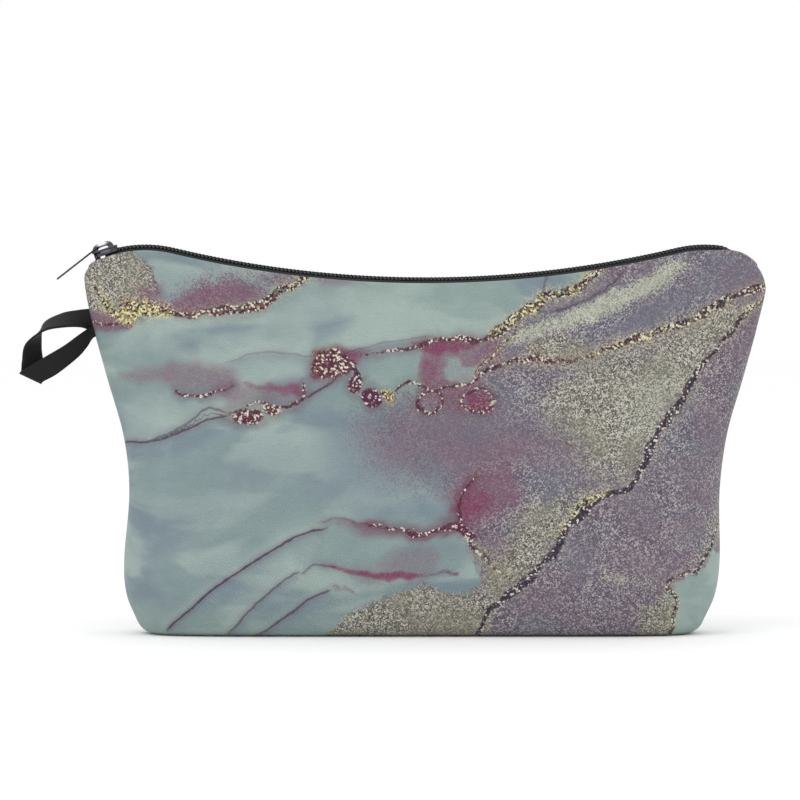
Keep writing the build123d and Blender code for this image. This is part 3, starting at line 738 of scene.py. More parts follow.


# the print: regions and strokes, in front-view millimetres

marbling = {
    # regions: outline, strength and softness of the edge
    "glitterGround": [
        ([(57, 135), (57, 122), (51, 113), (41, 110), (34, 105), (26, 100), (20, 95), (15, 88),
          (10, 85), (0, 80), (-14, 76),
          (-20, 66), (-16, 57), (-2, 50), (8, 47), (12, 42), (11, 36), (15, 30), (17, 23), (18, 17),
          (14, 13), (6, 13.5),
          (-1, 15), (-6, 13), (-14, 12), (-20, 10), (-26, 5), (-32, 0), (-40, -30), (140, -30),
          (140, 135)], 1.0, 0),
        ([(-112, 121), (-104, 127), (-93, 123), (-88, 118), (-86, 112), (-88, 107), (-96, 104),
          (-105, 104), (-112, 107)], 1.0, 0),
        ([(-78, 111), (-69, 117), (-60, 118), (-53, 116), (-50, 111), (-54, 107), (-64, 106),
          (-76, 106), (-85, 107)], 1.0, 0),
        ([(-58, 119), (-40, 117), (-38, 114), (-46, 112), (-52, 114)], 1.0, 0),
    ],
    # where the speckled ground fades out softly
    "haze": [([(-36, 80), (-8, 77), (26, 74), (36, 64), (28, 54), (8, 50), (0, 40), (-32, 38)], 1.0, 7),
             ([(-92, 130), (-86, 120), (-82, 103), (-56, 104), (-50, 121), (-70, 126)], 0.35, 4)],
    "tealPocket": [
        ([(81, -5), (82, 10), (79, 14), (86, 18), (91, 21), (94, 27), (110, 24), (110, -5)], 1.0, 0),
        ([(-19, 85), (-17, 90), (-11, 91), (-5.5, 89), (-5, 83), (-9, 80), (-15, 79)], 1.0, 0),
        ([(5.5, 84), (6, 89), (10, 88.5), (12, 86.5), (17, 88), (15.5, 83), (11, 81)], 1.0, 0),
        ([(40, 135), (44, 116), (50, 114), (54, 120), (56, 135)], 1.0, 0),
    ],
    "olive": [
        ([(42, 82), (56, 89), (70, 92), (87, 97), (97, 98), (93, 92), (88, 84), (83, 74), (78, 69),
          (75, 62), (71, 55), (65, 50),
          (57, 53), (47, 62), (40, 72)], 1.0, 9),
        ([(22, 8), (18, 15), (20, 24), (28, 36), (38, 43), (52, 46), (46, 34), (34, 18)], 0.9, 6),
        ([(-40, -6), (-26, 6), (-14, 12), (-1, 15), (15, 14), (24, 9), (20, -6)], 1.0, 2),
        ([(34, 96), (46, 98), (54, 94), (56, 87), (40, 86), (33, 90)], 0.9, 4),
        ([(75, 93), (87, 102), (99, 109), (109, 113), (107, 105), (101, 97), (95, 92), (86, 91)], 0.9, 4),
        ([(70, -4), (71, 8), (78, 14), (84, 11), (83, -4)], 0.9, 3),
        ([(86, 22), (92, 32), (95, 42), (98, 36), (94, 22)], 0.6, 3),
        ([(-112, 121), (-104, 127), (-92, 123), (-87, 112), (-96, 104), (-112, 107)], 1.0, 6),
    ],
    "pale": [
        ([(24, 93), (38, 97), (51, 100), (64, 105), (77, 113), (87, 121), (80, 122), (67, 114),
          (54, 108), (41, 102), (28, 97)], 1.0, 2.5),
        ([(58, 78), (74, 84), (88, 94), (84, 80), (76, 66), (62, 62)], 0.5, 8),
        ([(-46, 96), (-20, 102), (16, 102), (2, 96), (-30, 90)], 0.45, 8),
        ([(-62, 92), (-52, 95), (-42, 94), (-36, 88), (-40, 84), (-52, 85)], 0.75, 3),
        ([(-52, 104), (-40, 110), (-20, 112), (-6, 108), (-8, 102), (-24, 103), (-40, 101)], 0.65, 3),
        ([(-99, 102), (-84, 104), (-72, 98), (-80, 92), (-97, 92)], 0.45, 4),
        ([(-99, 76), (-86, 78), (-74, 72), (-84, 66), (-98, 64)], 0.5, 3),
        ([(-44, 30), (-34, 34), (-36, 26), (-52, 16), (-66, 4), (-60, 10)], 0.5, 4),
        ([(-24, 16), (-34, 8), (-48, -2), (-34, -2), (-22, 6)], 0.35, 4),
        ([(56, 22), (64, 18), (74, 17), (80, 24), (74, 15), (62, 14)], 0.45, 2),
    ],
    "mauveBand": [
        ([(34, 100), (44, 104), (54, 108), (65, 114), (60, 117), (50, 112), (40, 107),
          (33, 104)], 1.0, 1.6),
        ([(59, 92), (68, 96), (78, 102), (86, 108), (97, 114), (92, 117), (80, 111), (68, 104),
          (60, 98)], 1.0, 2.2),
        ([(88, 118), (94, 124), (108, 120), (114, 108), (104, 106), (96, 108), (91, 113)], 1.2, 2.5),
        ([(20, 92), (28, 96), (33, 90), (26, 85)], 0.9, 3),
        ([(40, 118), (30, 112), (18, 103), (0, 101), (-8, 99), (14, 99), (28, 104), (36, 110)], 0.8, 3),
    ],
    "slate": [
        ([(-78, 116), (-66, 112), (-58, 106), (-70, 106), (-84, 110), (-88, 118)], 0.4, 4),
        ([(-50, 112), (-30, 114), (-24, 106), (-34, 98), (-52, 100)], 0.4, 7),
        ([(-38, 108), (-31, 109), (-24, 104), (-27, 96), (-36, 94)], 1.0, 3.5),
        ([(-36, 70), (-12, 72), (-2, 58), (-2, 42), (-34, 42)], 0.75, 8),
        ([(-98, 78), (-80, 82), (-62, 84), (-70, 76), (-96, 70)], 0.5, 5),
        ([(-100, 50), (-84, 60), (-50, 62), (-20, 52), (-36, 38), (-74, 30), (-98, 34)], 0.45, 10),
        ([(-92, 14), (-72, 22), (-52, 28), (-62, 14), (-84, 2)], 0.4, 7),
        ([(-30, 44), (-10, 46), (8, 46), (10, 38), (-8, 36), (-30, 40)], 0.6, 5),
        ([(84, 40), (96, 60), (100, 80), (88, 76), (78, 60)], 0.5, 8),
    ],
    "plum": [
        ([(-84, 108), (-72, 113), (-60, 116), (-54, 111), (-58, 107), (-66, 105), (-84, 105)], 0.95, 4),
        ([(-112, 106), (-98, 106), (-92, 103), (-96, 99), (-109, 98)], 0.9, 2),
        ([(-94, 113), (-84, 114), (-82, 104), (-96, 106)], 0.75, 4),
        ([(-44, 119), (-26, 118), (-18, 114), (-30, 113), (-42, 115)], 0.6, 2.5),
        ([(-101, 86), (-88, 88), (-74, 91), (-62, 87), (-58, 82), (-40, 82), (-39, 77), (-50, 75),
          (-64, 74), (-70, 78), (-84, 80), (-101, 82)], 0.62, 4),
        ([(-39, 91), (-36, 94), (-24, 93.5), (-18, 91.5), (-24, 84), (-37, 82)], 0.75, 2.5),
        ([(0, 96), (16, 97), (28, 96), (22, 86), (16, 80), (20, 72), (10, 70), (-4, 76),
          (-2, 86)], 0.75, 3.5),
        ([(-30, 64), (-10, 74), (14, 72), (40, 74), (44, 64), (30, 52), (10, 48), (-16, 52)], 0.42, 9),
        ([(4, 44), (14, 56), (30, 58), (32, 44), (22, 34), (12, 34)], 0.8, 6),
        ([(-38, 36), (-20, 37), (-8, 34), (8, 38), (14, 33), (0, 29), (-20, 31)], 0.6, 3),
        ([(-34, 23), (-16, 24), (-4, 30), (6, 27), (4, 20), (0, 15), (-20, 15)], 0.5, 3.5),
        ([(18, 36), (24, 34), (30, 24), (24, 22), (18, 28)], 0.5, 3),
        ([(92, 122), (108, 120), (112, 108), (100, 104)], 0.4, 4),
    ],
    "magenta": [
        ([(-38, 92.5), (-24, 92.5), (-20, 90), (-26, 83), (-37, 83)], 0.8, 1.5),
        ([(-6, 95), (6, 96), (16, 94), (10, 90), (0, 91)], 0.85, 1.5),
        ([(-2, 91), (6, 91), (5, 84), (1, 79), (-3, 83)], 0.6, 2.5),
        ([(14, 79), (20, 79), (21, 73), (15, 72)], 1.0, 1),
        ([(8, 40), (12, 48), (22, 46), (22, 40), (16, 34), (9, 34)], 0.75, 4.5),
        ([(-35, 22.5), (-26, 21.5), (-12, 20.5), (0, 19), (12, 21), (12, 19.5), (-6, 17),
          (-24, 19)], 0.85, 1.0),
        ([(-36, 36.5), (-26, 37.5), (-14, 36), (-4, 31), (8, 34), (12, 33), (2, 29),
          (-16, 33)], 0.55, 1.6),
        ([(-33, 14.5), (-26, 15), (-22, 12), (-28, 12.5)], 0.6, 1),
        ([(-60, 82), (-50, 81), (-40, 82), (-38.5, 77), (-46, 77.5), (-56, 79)], 0.7, 1.8),
        ([(-90, 107), (-84, 109), (-80, 106), (-86, 104)], 0.7, 1.6),
        ([(0, 100), (16, 101), (26, 103), (18, 99), (4, 98)], 0.35, 2),
    ],
    # speckled veins: points, half width from start to end, gold share from start to end, wine-red share
    "veins": [
        ([(-112, 102.5), (-106, 101.5), (-99, 101)], 0.6, 0.6, 0.1, 0.3, 0.8),
        ([(-96, 105), (-90, 105.6), (-80, 105.4)], 2.4, 0.9, 1.0, 1.0, 0.2),
        ([(-81, 105.3), (-73, 104.8), (-62, 104.8), (-56, 106.2), (-52, 108.5)], 1.0, 1.6, 0.4, 0.3, 0.6),
        ([(-52, 108.5), (-48, 111.3), (-43, 114), (-36, 117), (-30, 119)], 1.7, 0.9, 0.3, 0.7, 0.2),
        ([(-108, 113), (-103, 107), (-99, 105)], 0.5, 1.2, 0.6, 1.0, 0.2),
        ([(-81, 79), (-75, 77.5), (-70, 77.5), (-62, 81)], 0.6, 0.4, 0.1, 0.0, 0.9),
        ([(-64, 71.5), (-57, 74.4), (-50, 75), (-44, 73.8), (-39.6, 77),
          (-39, 81)], 0.35, 0.5, 0.1, 0.1, 0.9),
        ([(-20, 90), (-12, 91), (-4, 93), (5, 96), (15, 95), (21, 96)], 0.4, 0.9, 0.1, 0.2, 0.8),
        ([(21, 96), (28, 101), (34, 105)], 1.4, 1.2, 0.5, 0.7, 0.3),
        ([(34, 105), (41, 109), (50, 112), (55, 116), (58, 121)], 1.8, 1.2, 0.7, 0.6, 0.2),
        ([(-25, 90), (-22, 85), (-21, 80)], 0.8, 1.0, 0.05, 0.05, 0.3),
        ([(-10, 79), (-6, 81.5), (-2, 81), (2, 79), (7, 80), (15, 82.5), (21, 86),
          (28, 88)], 0.5, 0.8, 0.1, 0.3, 0.5),
        ([(26, 88), (37, 90), (43, 88), (55, 91)], 1.0, 0.7, 0.4, 0.3, 0.5),
        ([(55, 91), (62, 94), (74, 97), (84, 101), (95, 106), (102, 110),
          (112, 113)], 1.0, 1.6, 0.6, 0.3, 0.25),
        ([(15, 84), (22, 91), (26, 95), (34, 104)], 0.35, 0.3, 0.4, 0.6, 0.2),
        ([(112, 110), (106, 105), (101, 99), (96, 94)], 0.8, 1.2, 0.6, 0.2, 0.2),
        ([(96, 94), (90, 88), (85.5, 79), (80, 70), (75, 62), (71.5, 55),
          (69.5, 49)], 1.0, 1.5, 0.12, 0.1, 0.05),
        ([(69.5, 49.5), (66, 46.5), (58, 44.5), (51, 38), (44, 29), (31, 15), (21, 7),
          (17, -4)], 1.1, 1.3, 0.1, 0.1, 0.05),
        ([(60, 46), (52, 41), (44, 31)], 0.6, 0.6, 0.8, 0.8, 0.0),
        ([(96, 40), (95, 34), (93, 27), (88, 19)], 0.6, 0.9, 0.1, 0.1, 0.0),
        ([(88, 19), (82, 18), (79, 15), (82, 12), (82, -4)], 0.6, 1.0, 0.2, 0.4, 0.1),
        ([(12, 35), (16.6, 28.5), (22.5, 21), (30, 17)], 0.6, 0.5, 0.3, 0.4, 0.3),
        ([(-18, 34), (-10, 34), (-2, 32), (9, 35), (14, 34)], 0.4, 1.2, 0.1, 0.05, 1.0),
        ([(17, 52), (13, 46), (11, 40), (13, 34), (16, 31)], 0.3, 1.3, 0.1, 0.0, 0.9),
    ],
    # thin ink lines: points, strength, and how much darker the wash is left of the line than right of it
    "lines": [
        ([(-36, 36), (-27, 37), (-15, 34), (-2, 32)], 0.3, 0.0),
        ([(-41, 18.5), (-36, 22), (-28, 21)], 0.5, 0.0),
        ([(-30, 35), (-43, 31), (-54, 25), (-70, 13), (-87, -2)], 0.9, 0.8),
        ([(-40, 20.5), (-46, 17), (-56, 8), (-66, -3)], 0.65, 0.8),
        ([(-30, 14), (-40, 9), (-56, -3)], 0.75, 0.8),
        ([(-62, 71.5), (-72, 68.9), (-80, 65.5), (-88, 62.8), (-99, 61.6)], 0.85, 0.5),
        ([(-64, 71), (-70, 73.5), (-78, 68), (-84, 64.8), (-90, 63)], 0.6, 0.0),
        ([(4, 97), (-10, 95), (-34, 90), (-52, 92), (-68, 88)], 0.35, 0.7),
        ([(-39.5, 76.5), (-34, 79.5), (-29.5, 82), (-23.5, 88)], 0.85, 0.0),
        ([(34, 105), (39, 111), (41, 118)], 0.45, 0.0),
        ([(40, 104), (52, 108), (62, 115), (66, 121)], 0.5, 0.0),
        ([(-34, 52), (-50, 42), (-66, 30), (-84, 20), (-100, 12)], 0.0, 0.9),
        ([(-20, 106), (-44, 104), (-70, 100), (-96, 92)], 0.0, 0.6),
        ([(12, 100), (-10, 101), (-30, 98)], 0.0, 0.5),
    ],
    # round speckled drops: middle, radii and gold share
    "drops": [
        ((-30.5, 87.5), (6.8, 4.9), 0.25),
        ((-58.5, 70.8), (4.4, 2.1), 0.15),
        ((-50.6, 73), (2.8, 2.0), 0.25),
        ((-95.5, 104.5), (4.2, 3.2), 1.0),
        ((-16.8, 76.8), (3.0, 3.0), 0.0),
        ((-11.5, 77.5), (1.6, 1.5), 1.0),
        ((-22, 80.5), (2.2, 3.2), 0.1),
    ],
    # rings of speckle round a spot of ink
    "rings": [((17, 76.3), (4.6, 3.9)), ((1, 75.6), (4.2, 3.8))],
}


def outlineDistance(s, z, outline):
    # how far outside the outline a point is, and below zero inside it
    best, inside = np.full(s.shape, 1e9), np.zeros(s.shape, bool)
    for (ax, az), (bx, bz) in zip(outline, outline[1:] + outline[:1]):
        dx, dz = bx - ax, bz - az
        t = np.clip(((s - ax) * dx + (z - az) * dz) / (dx * dx + dz * dz), 0, 1)
        best = np.minimum(best, (s - ax - t * dx)**2 + (z - az - t * dz)**2)
        crosses = (az > z) != (bz > z)
        safe = dz if abs(dz) > 1e-9 else 1e-9
        inside ^= crosses & (s < ax + (z - az) * dx / safe)
    return np.sqrt(best) * np.where(inside, -1, 1)


def regionWeight(s, z, name, toCloth):
    weight = np.zeros_like(s)
    for outline, strength, soft in marbling[name]:
        gap = outlineDistance(s, z, [toCloth(x, h) for x, h in outline])
        weight = np.maximum(weight, strength * (1 - smoothStep(-soft, soft, gap)))
    return weight


def regionDistance(s, z, name, toCloth):
    gaps = [outlineDistance(s, z, [toCloth(x, h) for x, h in outline])
            for outline, strength, soft in marbling[name]]
    return np.minimum.reduce(gaps)


def nearestOn(s, z, line):
    # distance to a line, how far along it the nearest point is, and 1 on its left or -1 on its right
    best, where, side = np.full(s.shape, 1e9), np.zeros(s.shape), np.ones(s.shape)
    for i in range(len(line) - 1):
        (ax, az), (dx, dz) = line[i], line[i + 1] - line[i]
        t = np.clip(((s - ax) * dx + (z - az) * dz) / (dx * dx + dz * dz), 0, 1)
        gapX, gapZ = s - ax - t * dx, z - az - t * dz
        gap = gapX**2 + gapZ**2
        closer = gap < best
        best = np.where(closer, gap, best)
        where = np.where(closer, (i + t) / (len(line) - 1), where)
        side = np.where(closer, np.where(dx * gapZ - dz * gapX < 0, -1, 1), side)
    return np.sqrt(best), where, side


def printFields(s, z, toCloth):
    # the masks and distances that the printed canvas reads, at each point of the cloth
    ws = s + 1.5 * layeredUnevenness(s, z, 13, 41) + 0.9 * unevenness(s, z, 3.6, 44)
    wz = z + 1.5 * layeredUnevenness(s, z, 13, 51) + 0.9 * unevenness(s, z, 3.6, 54)
    veinGap, gold, wine = np.full(s.shape, 30.0), np.zeros(s.shape), np.zeros(s.shape)
    for points, widthStart, widthEnd, goldStart, goldEnd, wineShare in marbling["veins"]:
        path = curveThrough([toCloth(x, h) for x, h in points], 2.5)
        gap, where, side = nearestOn(ws, wz, path)
        row = np.full(where.shape, len(points) * 7.3)
        beads = 0.9 + 0.4 * unevenness(where * len(path) * 2, row, 3.5, 61)
        gap = gap - (widthStart + (widthEnd - widthStart) * where) * beads
        closer = gap < veinGap
        veinGap = np.where(closer, gap, veinGap)
        gold = np.where(closer, goldStart + (goldEnd - goldStart) * where, gold)
        wine = np.where(closer, wineShare, wine)
    for middle, (rx, rz), goldShare in marbling["drops"]:
        cx, cz = toCloth(*middle)
        gap = (np.sqrt(((ws - cx) / rx)**2 + ((wz - cz) / rz)**2) - 1) * min(rx, rz)
        closer = gap < veinGap
        veinGap = np.where(closer, gap, veinGap)
        gold = np.where(closer, goldShare, gold)
        wine = np.where(closer, 0.9, wine)
    for middle, (rx, rz) in marbling["rings"]:
        cx, cz = toCloth(*middle)
        gap = np.abs((np.sqrt(((ws - cx) / rx)**2 + ((wz - cz) / rz)**2) - 1) * min(rx, rz)) - 0.5
        closer = gap < veinGap
        veinGap = np.where(closer, gap, veinGap)
        gold = np.where(closer, 0.15, gold)
        wine = np.where(closer, 0.8, wine)
    lineGap, lineStrength, lineShade = np.full(s.shape, 30.0), np.zeros(s.shape), np.zeros(s.shape)
    for points, strength, shade in marbling["lines"]:
        path = curveThrough([toCloth(x, h) for x, h in points], 2.5)
        gap, where, side = nearestOn(s + 0.5 * (ws - s), z + 0.5 * (wz - z), path)
        taper = smoothStep(0, 0.08, np.minimum(where, 1 - where))
        closer = gap < np.abs(lineGap)
        lineGap = np.where(closer, gap * side, lineGap)
        lineStrength = np.where(closer, strength * taper * (1 - smoothStep(2, 3.5, gap)), lineStrength)
        clearance = smoothStep(0, 1 if strength else 6, gap)
        lineShade = lineShade + shade * side * taper * np.exp(-gap / 5) * clearance
    olive, pale, mauve, slate, plum, magenta = (
        regionWeight(ws, wz, name, toCloth)
        for name in ("olive", "pale", "mauveBand", "slate", "plum", "magenta"))
    return {
        "inkWash": np.stack([mauve, olive, pale], -1),
        "inkStain": np.stack([plum, magenta, slate], -1),
        "inkEdge": np.stack([regionDistance(ws, wz, "glitterGround", toCloth),
                             regionDistance(ws, wz, "tealPocket", toCloth),
                             regionWeight(ws, wz, "haze", toCloth)], -1),
        "inkVein": np.stack([veinGap, gold, wine], -1),
        "inkLine": np.stack([lineGap, lineStrength, lineShade], -1),
    }


def clothFinder(grid, arc):
    # turns a point as seen from the front into a place on the cloth: arc length from the middle, and height
    distance = view["across"] / view["sensor"] * view["lens"]
    tilt = math.radians(view["elevation"])
    closer = distance / (distance + grid[..., 1])
    seenX = view["aim"][0] + (grid[..., 0] - view["aim"][0]) * closer
    rise = (grid[..., 2] - view["aim"][2]) * math.cos(tilt) + grid[..., 1] * math.sin(tilt)
    seenZ = view["aim"][2] + rise * closer
    middle = grid.shape[1] // 2

    def place(x, h):
        column = middle
        for attempt in range(3):
            row = int(np.clip(np.searchsorted(seenZ[:, column], h), 0, len(grid) - 1))
            column = int(np.clip(np.searchsorted(seenX[row], x), 0, grid.shape[1] - 1))
        edge = seenX[row, -1] if x > 0 else seenX[row, 0]
        past = x - edge if (x - edge) * x > 0 else 0.0
        above = h - seenZ[row, column]
        return float(np.interp(x, seenX[row], arc[row])) + past, float(grid[row, column, 2]) + above

    return place


def halves(grid, fields):
    middle = grid.shape[1] // 2
    for word, part in (("left", slice(0, middle + 1)), ("right", slice(middle, None))):
        yield word, grid[:, part], {k: v[:, part] for k, v in fields.items()}


def sewToSeam(piece):
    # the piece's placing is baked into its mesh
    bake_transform(piece)


seamGrids = {}
for word in ("front", "back"):
    grid, arc = wallSurface(word)
    seamGrids[word] = grid
    place = clothFinder(grid, arc)
    fields = printFields(arc * facing(word), grid[..., 2], place)
    place = np.stack([arc * facing(word), grid[..., 2], 0 * arc], -1)
    # the top edge is folded in over the zipper tape
    ahead = grid[-1] - grid[-2]
    rows, placeRows = [], []
    radius = pouch["foldRadius"]
    for turn in np.linspace(0.4, math.pi, 7):
        rows.append(grid[-1] + np.array([0, radius * (1 - math.cos(turn)), radius * math.sin(turn)]))
        placeRows.append(place[-1] + (0, radius * turn, 0))
    for fall in (0.8, 1.8, 3.0):
        rows.append(grid[-1] + np.array([0, 2 * radius, -fall]))
        placeRows.append(place[-1] + (0, radius * math.pi + fall, 0))
    rows = np.minimum(np.stack(rows), (1e9, -0.2, 1e9))
    fields = {k: np.concatenate([v, np.repeat(v[-1:], len(rows), 0)]) for k, v in fields.items()}
    fields["clothPlace"] = np.concatenate([place, np.stack(placeRows)])
    grid = turned(np.concatenate([grid, rows]), word)
    for side, part, masks in halves(grid, fields):
        piece = sheetPiece(f"{word}_wall_{side}", part, masks, flip=(word == "back"))
        thicken(piece, pouch["clothThickness"], rim=False)
        dress(piece, "printed_cloth")
        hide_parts(word + "_panel")
        sewToSeam(piece)
print("walls made")


# the base: the two walls' cloth carried round the bottom edge

def baseOutline(word, inset=0.0):
    # the wall's first row, so that the base goes on from it without a step
    row = seamGrids[word][0]
    if inset:
        ahead = np.gradient(row, axis=0)
        normal = np.stack([ahead[:, 1], -ahead[:, 0], 0 * row[:, 0]], 1)
        normal /= np.linalg.norm(normal, axis=1)[:, None]
        row = row - normal * inset
        row[:, 1] = np.minimum(row[:, 1], -0.02)
    return row


def baseSurface(word, inset=0.0):
    # the rounding starts at the lean of the wall above it, so that no edge shows between them
    row = baseOutline(word, inset)
    ahead = np.gradient(row, axis=0)
    outward = np.stack([ahead[:, 1], -ahead[:, 0], 0 * row[:, 0]], 1)
    outward /= np.linalg.norm(outward, axis=1)[:, None]
    outward[0], outward[-1] = (-1, 0, 0), (1, 0, 0)
    lean = pouch["baseLean"]
    radius = (pouch["baseTop"] - inset) / (1 - math.sin(lean))
    rows, down = [row], [0.0]
    for turn in np.linspace(lean, math.pi / 2, 13)[1:]:
        shift = -outward * radius * (math.cos(lean) - math.cos(turn))
        shift[:, 1] = np.minimum(shift[:, 1], -row[:, 1] - 0.02)
        rows.append(row + shift + np.array([0, 0, -radius * (math.sin(turn) - math.sin(lean))]))
        down.append(radius * (turn - lean))
    last = rows[-1]
    rim = down[-1]
    for share in np.linspace(0, 1, 24)[1:]:
        inner = last * (1 - 0.04 * share, 1 - share, 1)
        ends = smoothStep(1.0, 0.8, np.abs(last[:, 0]) / 92)
        inner[:, 2] = inset + 0.5 * smoothStep(0.15, 0.9, share) * ends
        rows.append(inner)
        down.append(rim + share * 16)
    return np.stack(rows), np.array(down)


for word in ("front", "back"):
    grid, down = baseSurface(word)
    first, arc = seamGrids[word], None
    steps = np.linalg.norm(np.diff(first[0, :, :2], axis=0), axis=-1)
    arc = np.concatenate([[0], np.cumsum(steps)])
    arc -= arc[len(arc) // 2]
    s = arc[None, :] * facing(word) + 0 * grid[..., 0]
    z = pouch["baseTop"] - down[:, None] + 0 * s
    wallGrid, wallArc = wallSurface(word)
    fields = printFields(s, z, clothFinder(wallGrid, wallArc))
    fields["clothPlace"] = np.stack([s, z, 0 * s], -1)
    piece = sheetPiece(f"base_{word}", turned(grid, word), fields, flip=(word == "front"))
    dress(piece, "printed_cloth")
    thicken(piece, pouch["clothThickness"], rim=False)
    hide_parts("base_panel")
    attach(piece, "pouch")
print("base made")


# lining, tape, coil and stitches

def clothPlaced(grid, arc=None):
    stepsAlong = np.linalg.norm(np.diff(grid, axis=1), axis=-1)
    stepsUp = np.linalg.norm(np.diff(grid, axis=0), axis=-1)
    u = np.cumsum(np.concatenate([np.zeros((grid.shape[0], 1)), stepsAlong], 1), 1)
    v = np.cumsum(np.concatenate([np.zeros((1, grid.shape[1])), stepsUp], 0), 0)
    return {"clothPlace": np.stack([u, v, 0 * u], -1)}


for word in ("front", "back"):
    grid, arc = wallSurface(word, pouch["liningInset"], pouch["liningDrop"], 2.0)
    fields = clothPlaced(grid)
    grid = turned(grid, word)
    for side, part, masks in halves(grid, fields):
        piece = sheetPiece(f"{word}_lining_{side}", part, masks, flip=(word == "back"))
        thicken(piece, 0.35)
        dress(piece, "lining_cloth")
        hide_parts(word + "_lining")
        sewToSeam(piece)
    base, down = baseSurface(word, 1.3)
    piece = sheetPiece(f"base_lining_{word}", turned(base, word), clothPlaced(base), flip=(word == "front"))
    thicken(piece, 0.35)
    dress(piece, "lining_cloth")
    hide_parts("base_lining")
    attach(piece, "pouch")


def zipFrame(x):
    # places, tangents and upward normals along the zipper line
    line = np.stack([x, 0 * x, zipHeight(x) - zipper["endDive"] * smoothStep(96, 106, x)], 1)
    ahead = np.gradient(line, axis=0)
    ahead /= np.linalg.norm(ahead, axis=1)[:, None]
    up = np.stack([-ahead[:, 2], 0 * x, ahead[:, 0]], 1)
    return line, ahead, up


zipper = {
    "toothPitch": 1.25,        # millimetres from one tooth to the next
    "toothReach": 0.86,        # half the length of a tooth's loop, across the chain
    "toothHeight": 0.42,
    "wireRadius": 0.31,
    "endDive": 3.6,            # how far the chain's right end goes down inside the corner
    "coilMiddle": 1.08,        # distance of a coil's middle from the middle of the chain
    "flange": 9.0,
}

lineX = np.linspace(-104.5, 106, 900)
lineX = evenly(np.stack([lineX, zipHeight(lineX)], 1), 900)[:, 0]
lineLength = float(np.sum(np.hypot(np.diff(lineX), np.diff(zipHeight(lineX)))))


def alongZip(distance):
    share = np.clip(distance / lineLength, 0, 1) * (len(lineX) - 1)
    return np.interp(share, np.arange(len(lineX)), lineX)


def rodAlong(line, radius, outward, sides=6):
    # a rod whose cross-section is turned to a given outward direction at each point
    line = np.asarray(line, float)
    ahead = np.gradient(line, axis=0)
    ahead /= np.linalg.norm(ahead, axis=1)[:, None]
    side = np.cross(ahead, outward)
    side /= np.linalg.norm(side, axis=1)[:, None]
    outward = np.cross(side, ahead)
    turn = np.linspace(0, 2 * math.pi, sides, endpoint=False)
    cosine, sine = np.cos(turn)[None, :, None], np.sin(turn)[None, :, None]
    rings = line[:, None] + radius * (cosine * outward[:, None] + sine * side[:, None])
    faces = gridFaces(len(line), sides, closed=True)
    last = (len(line) - 1) * sides
    faces += [tuple(range(sides))[::-1], tuple(range(last, last + sides))]
    return rings.reshape(-1, 3), faces


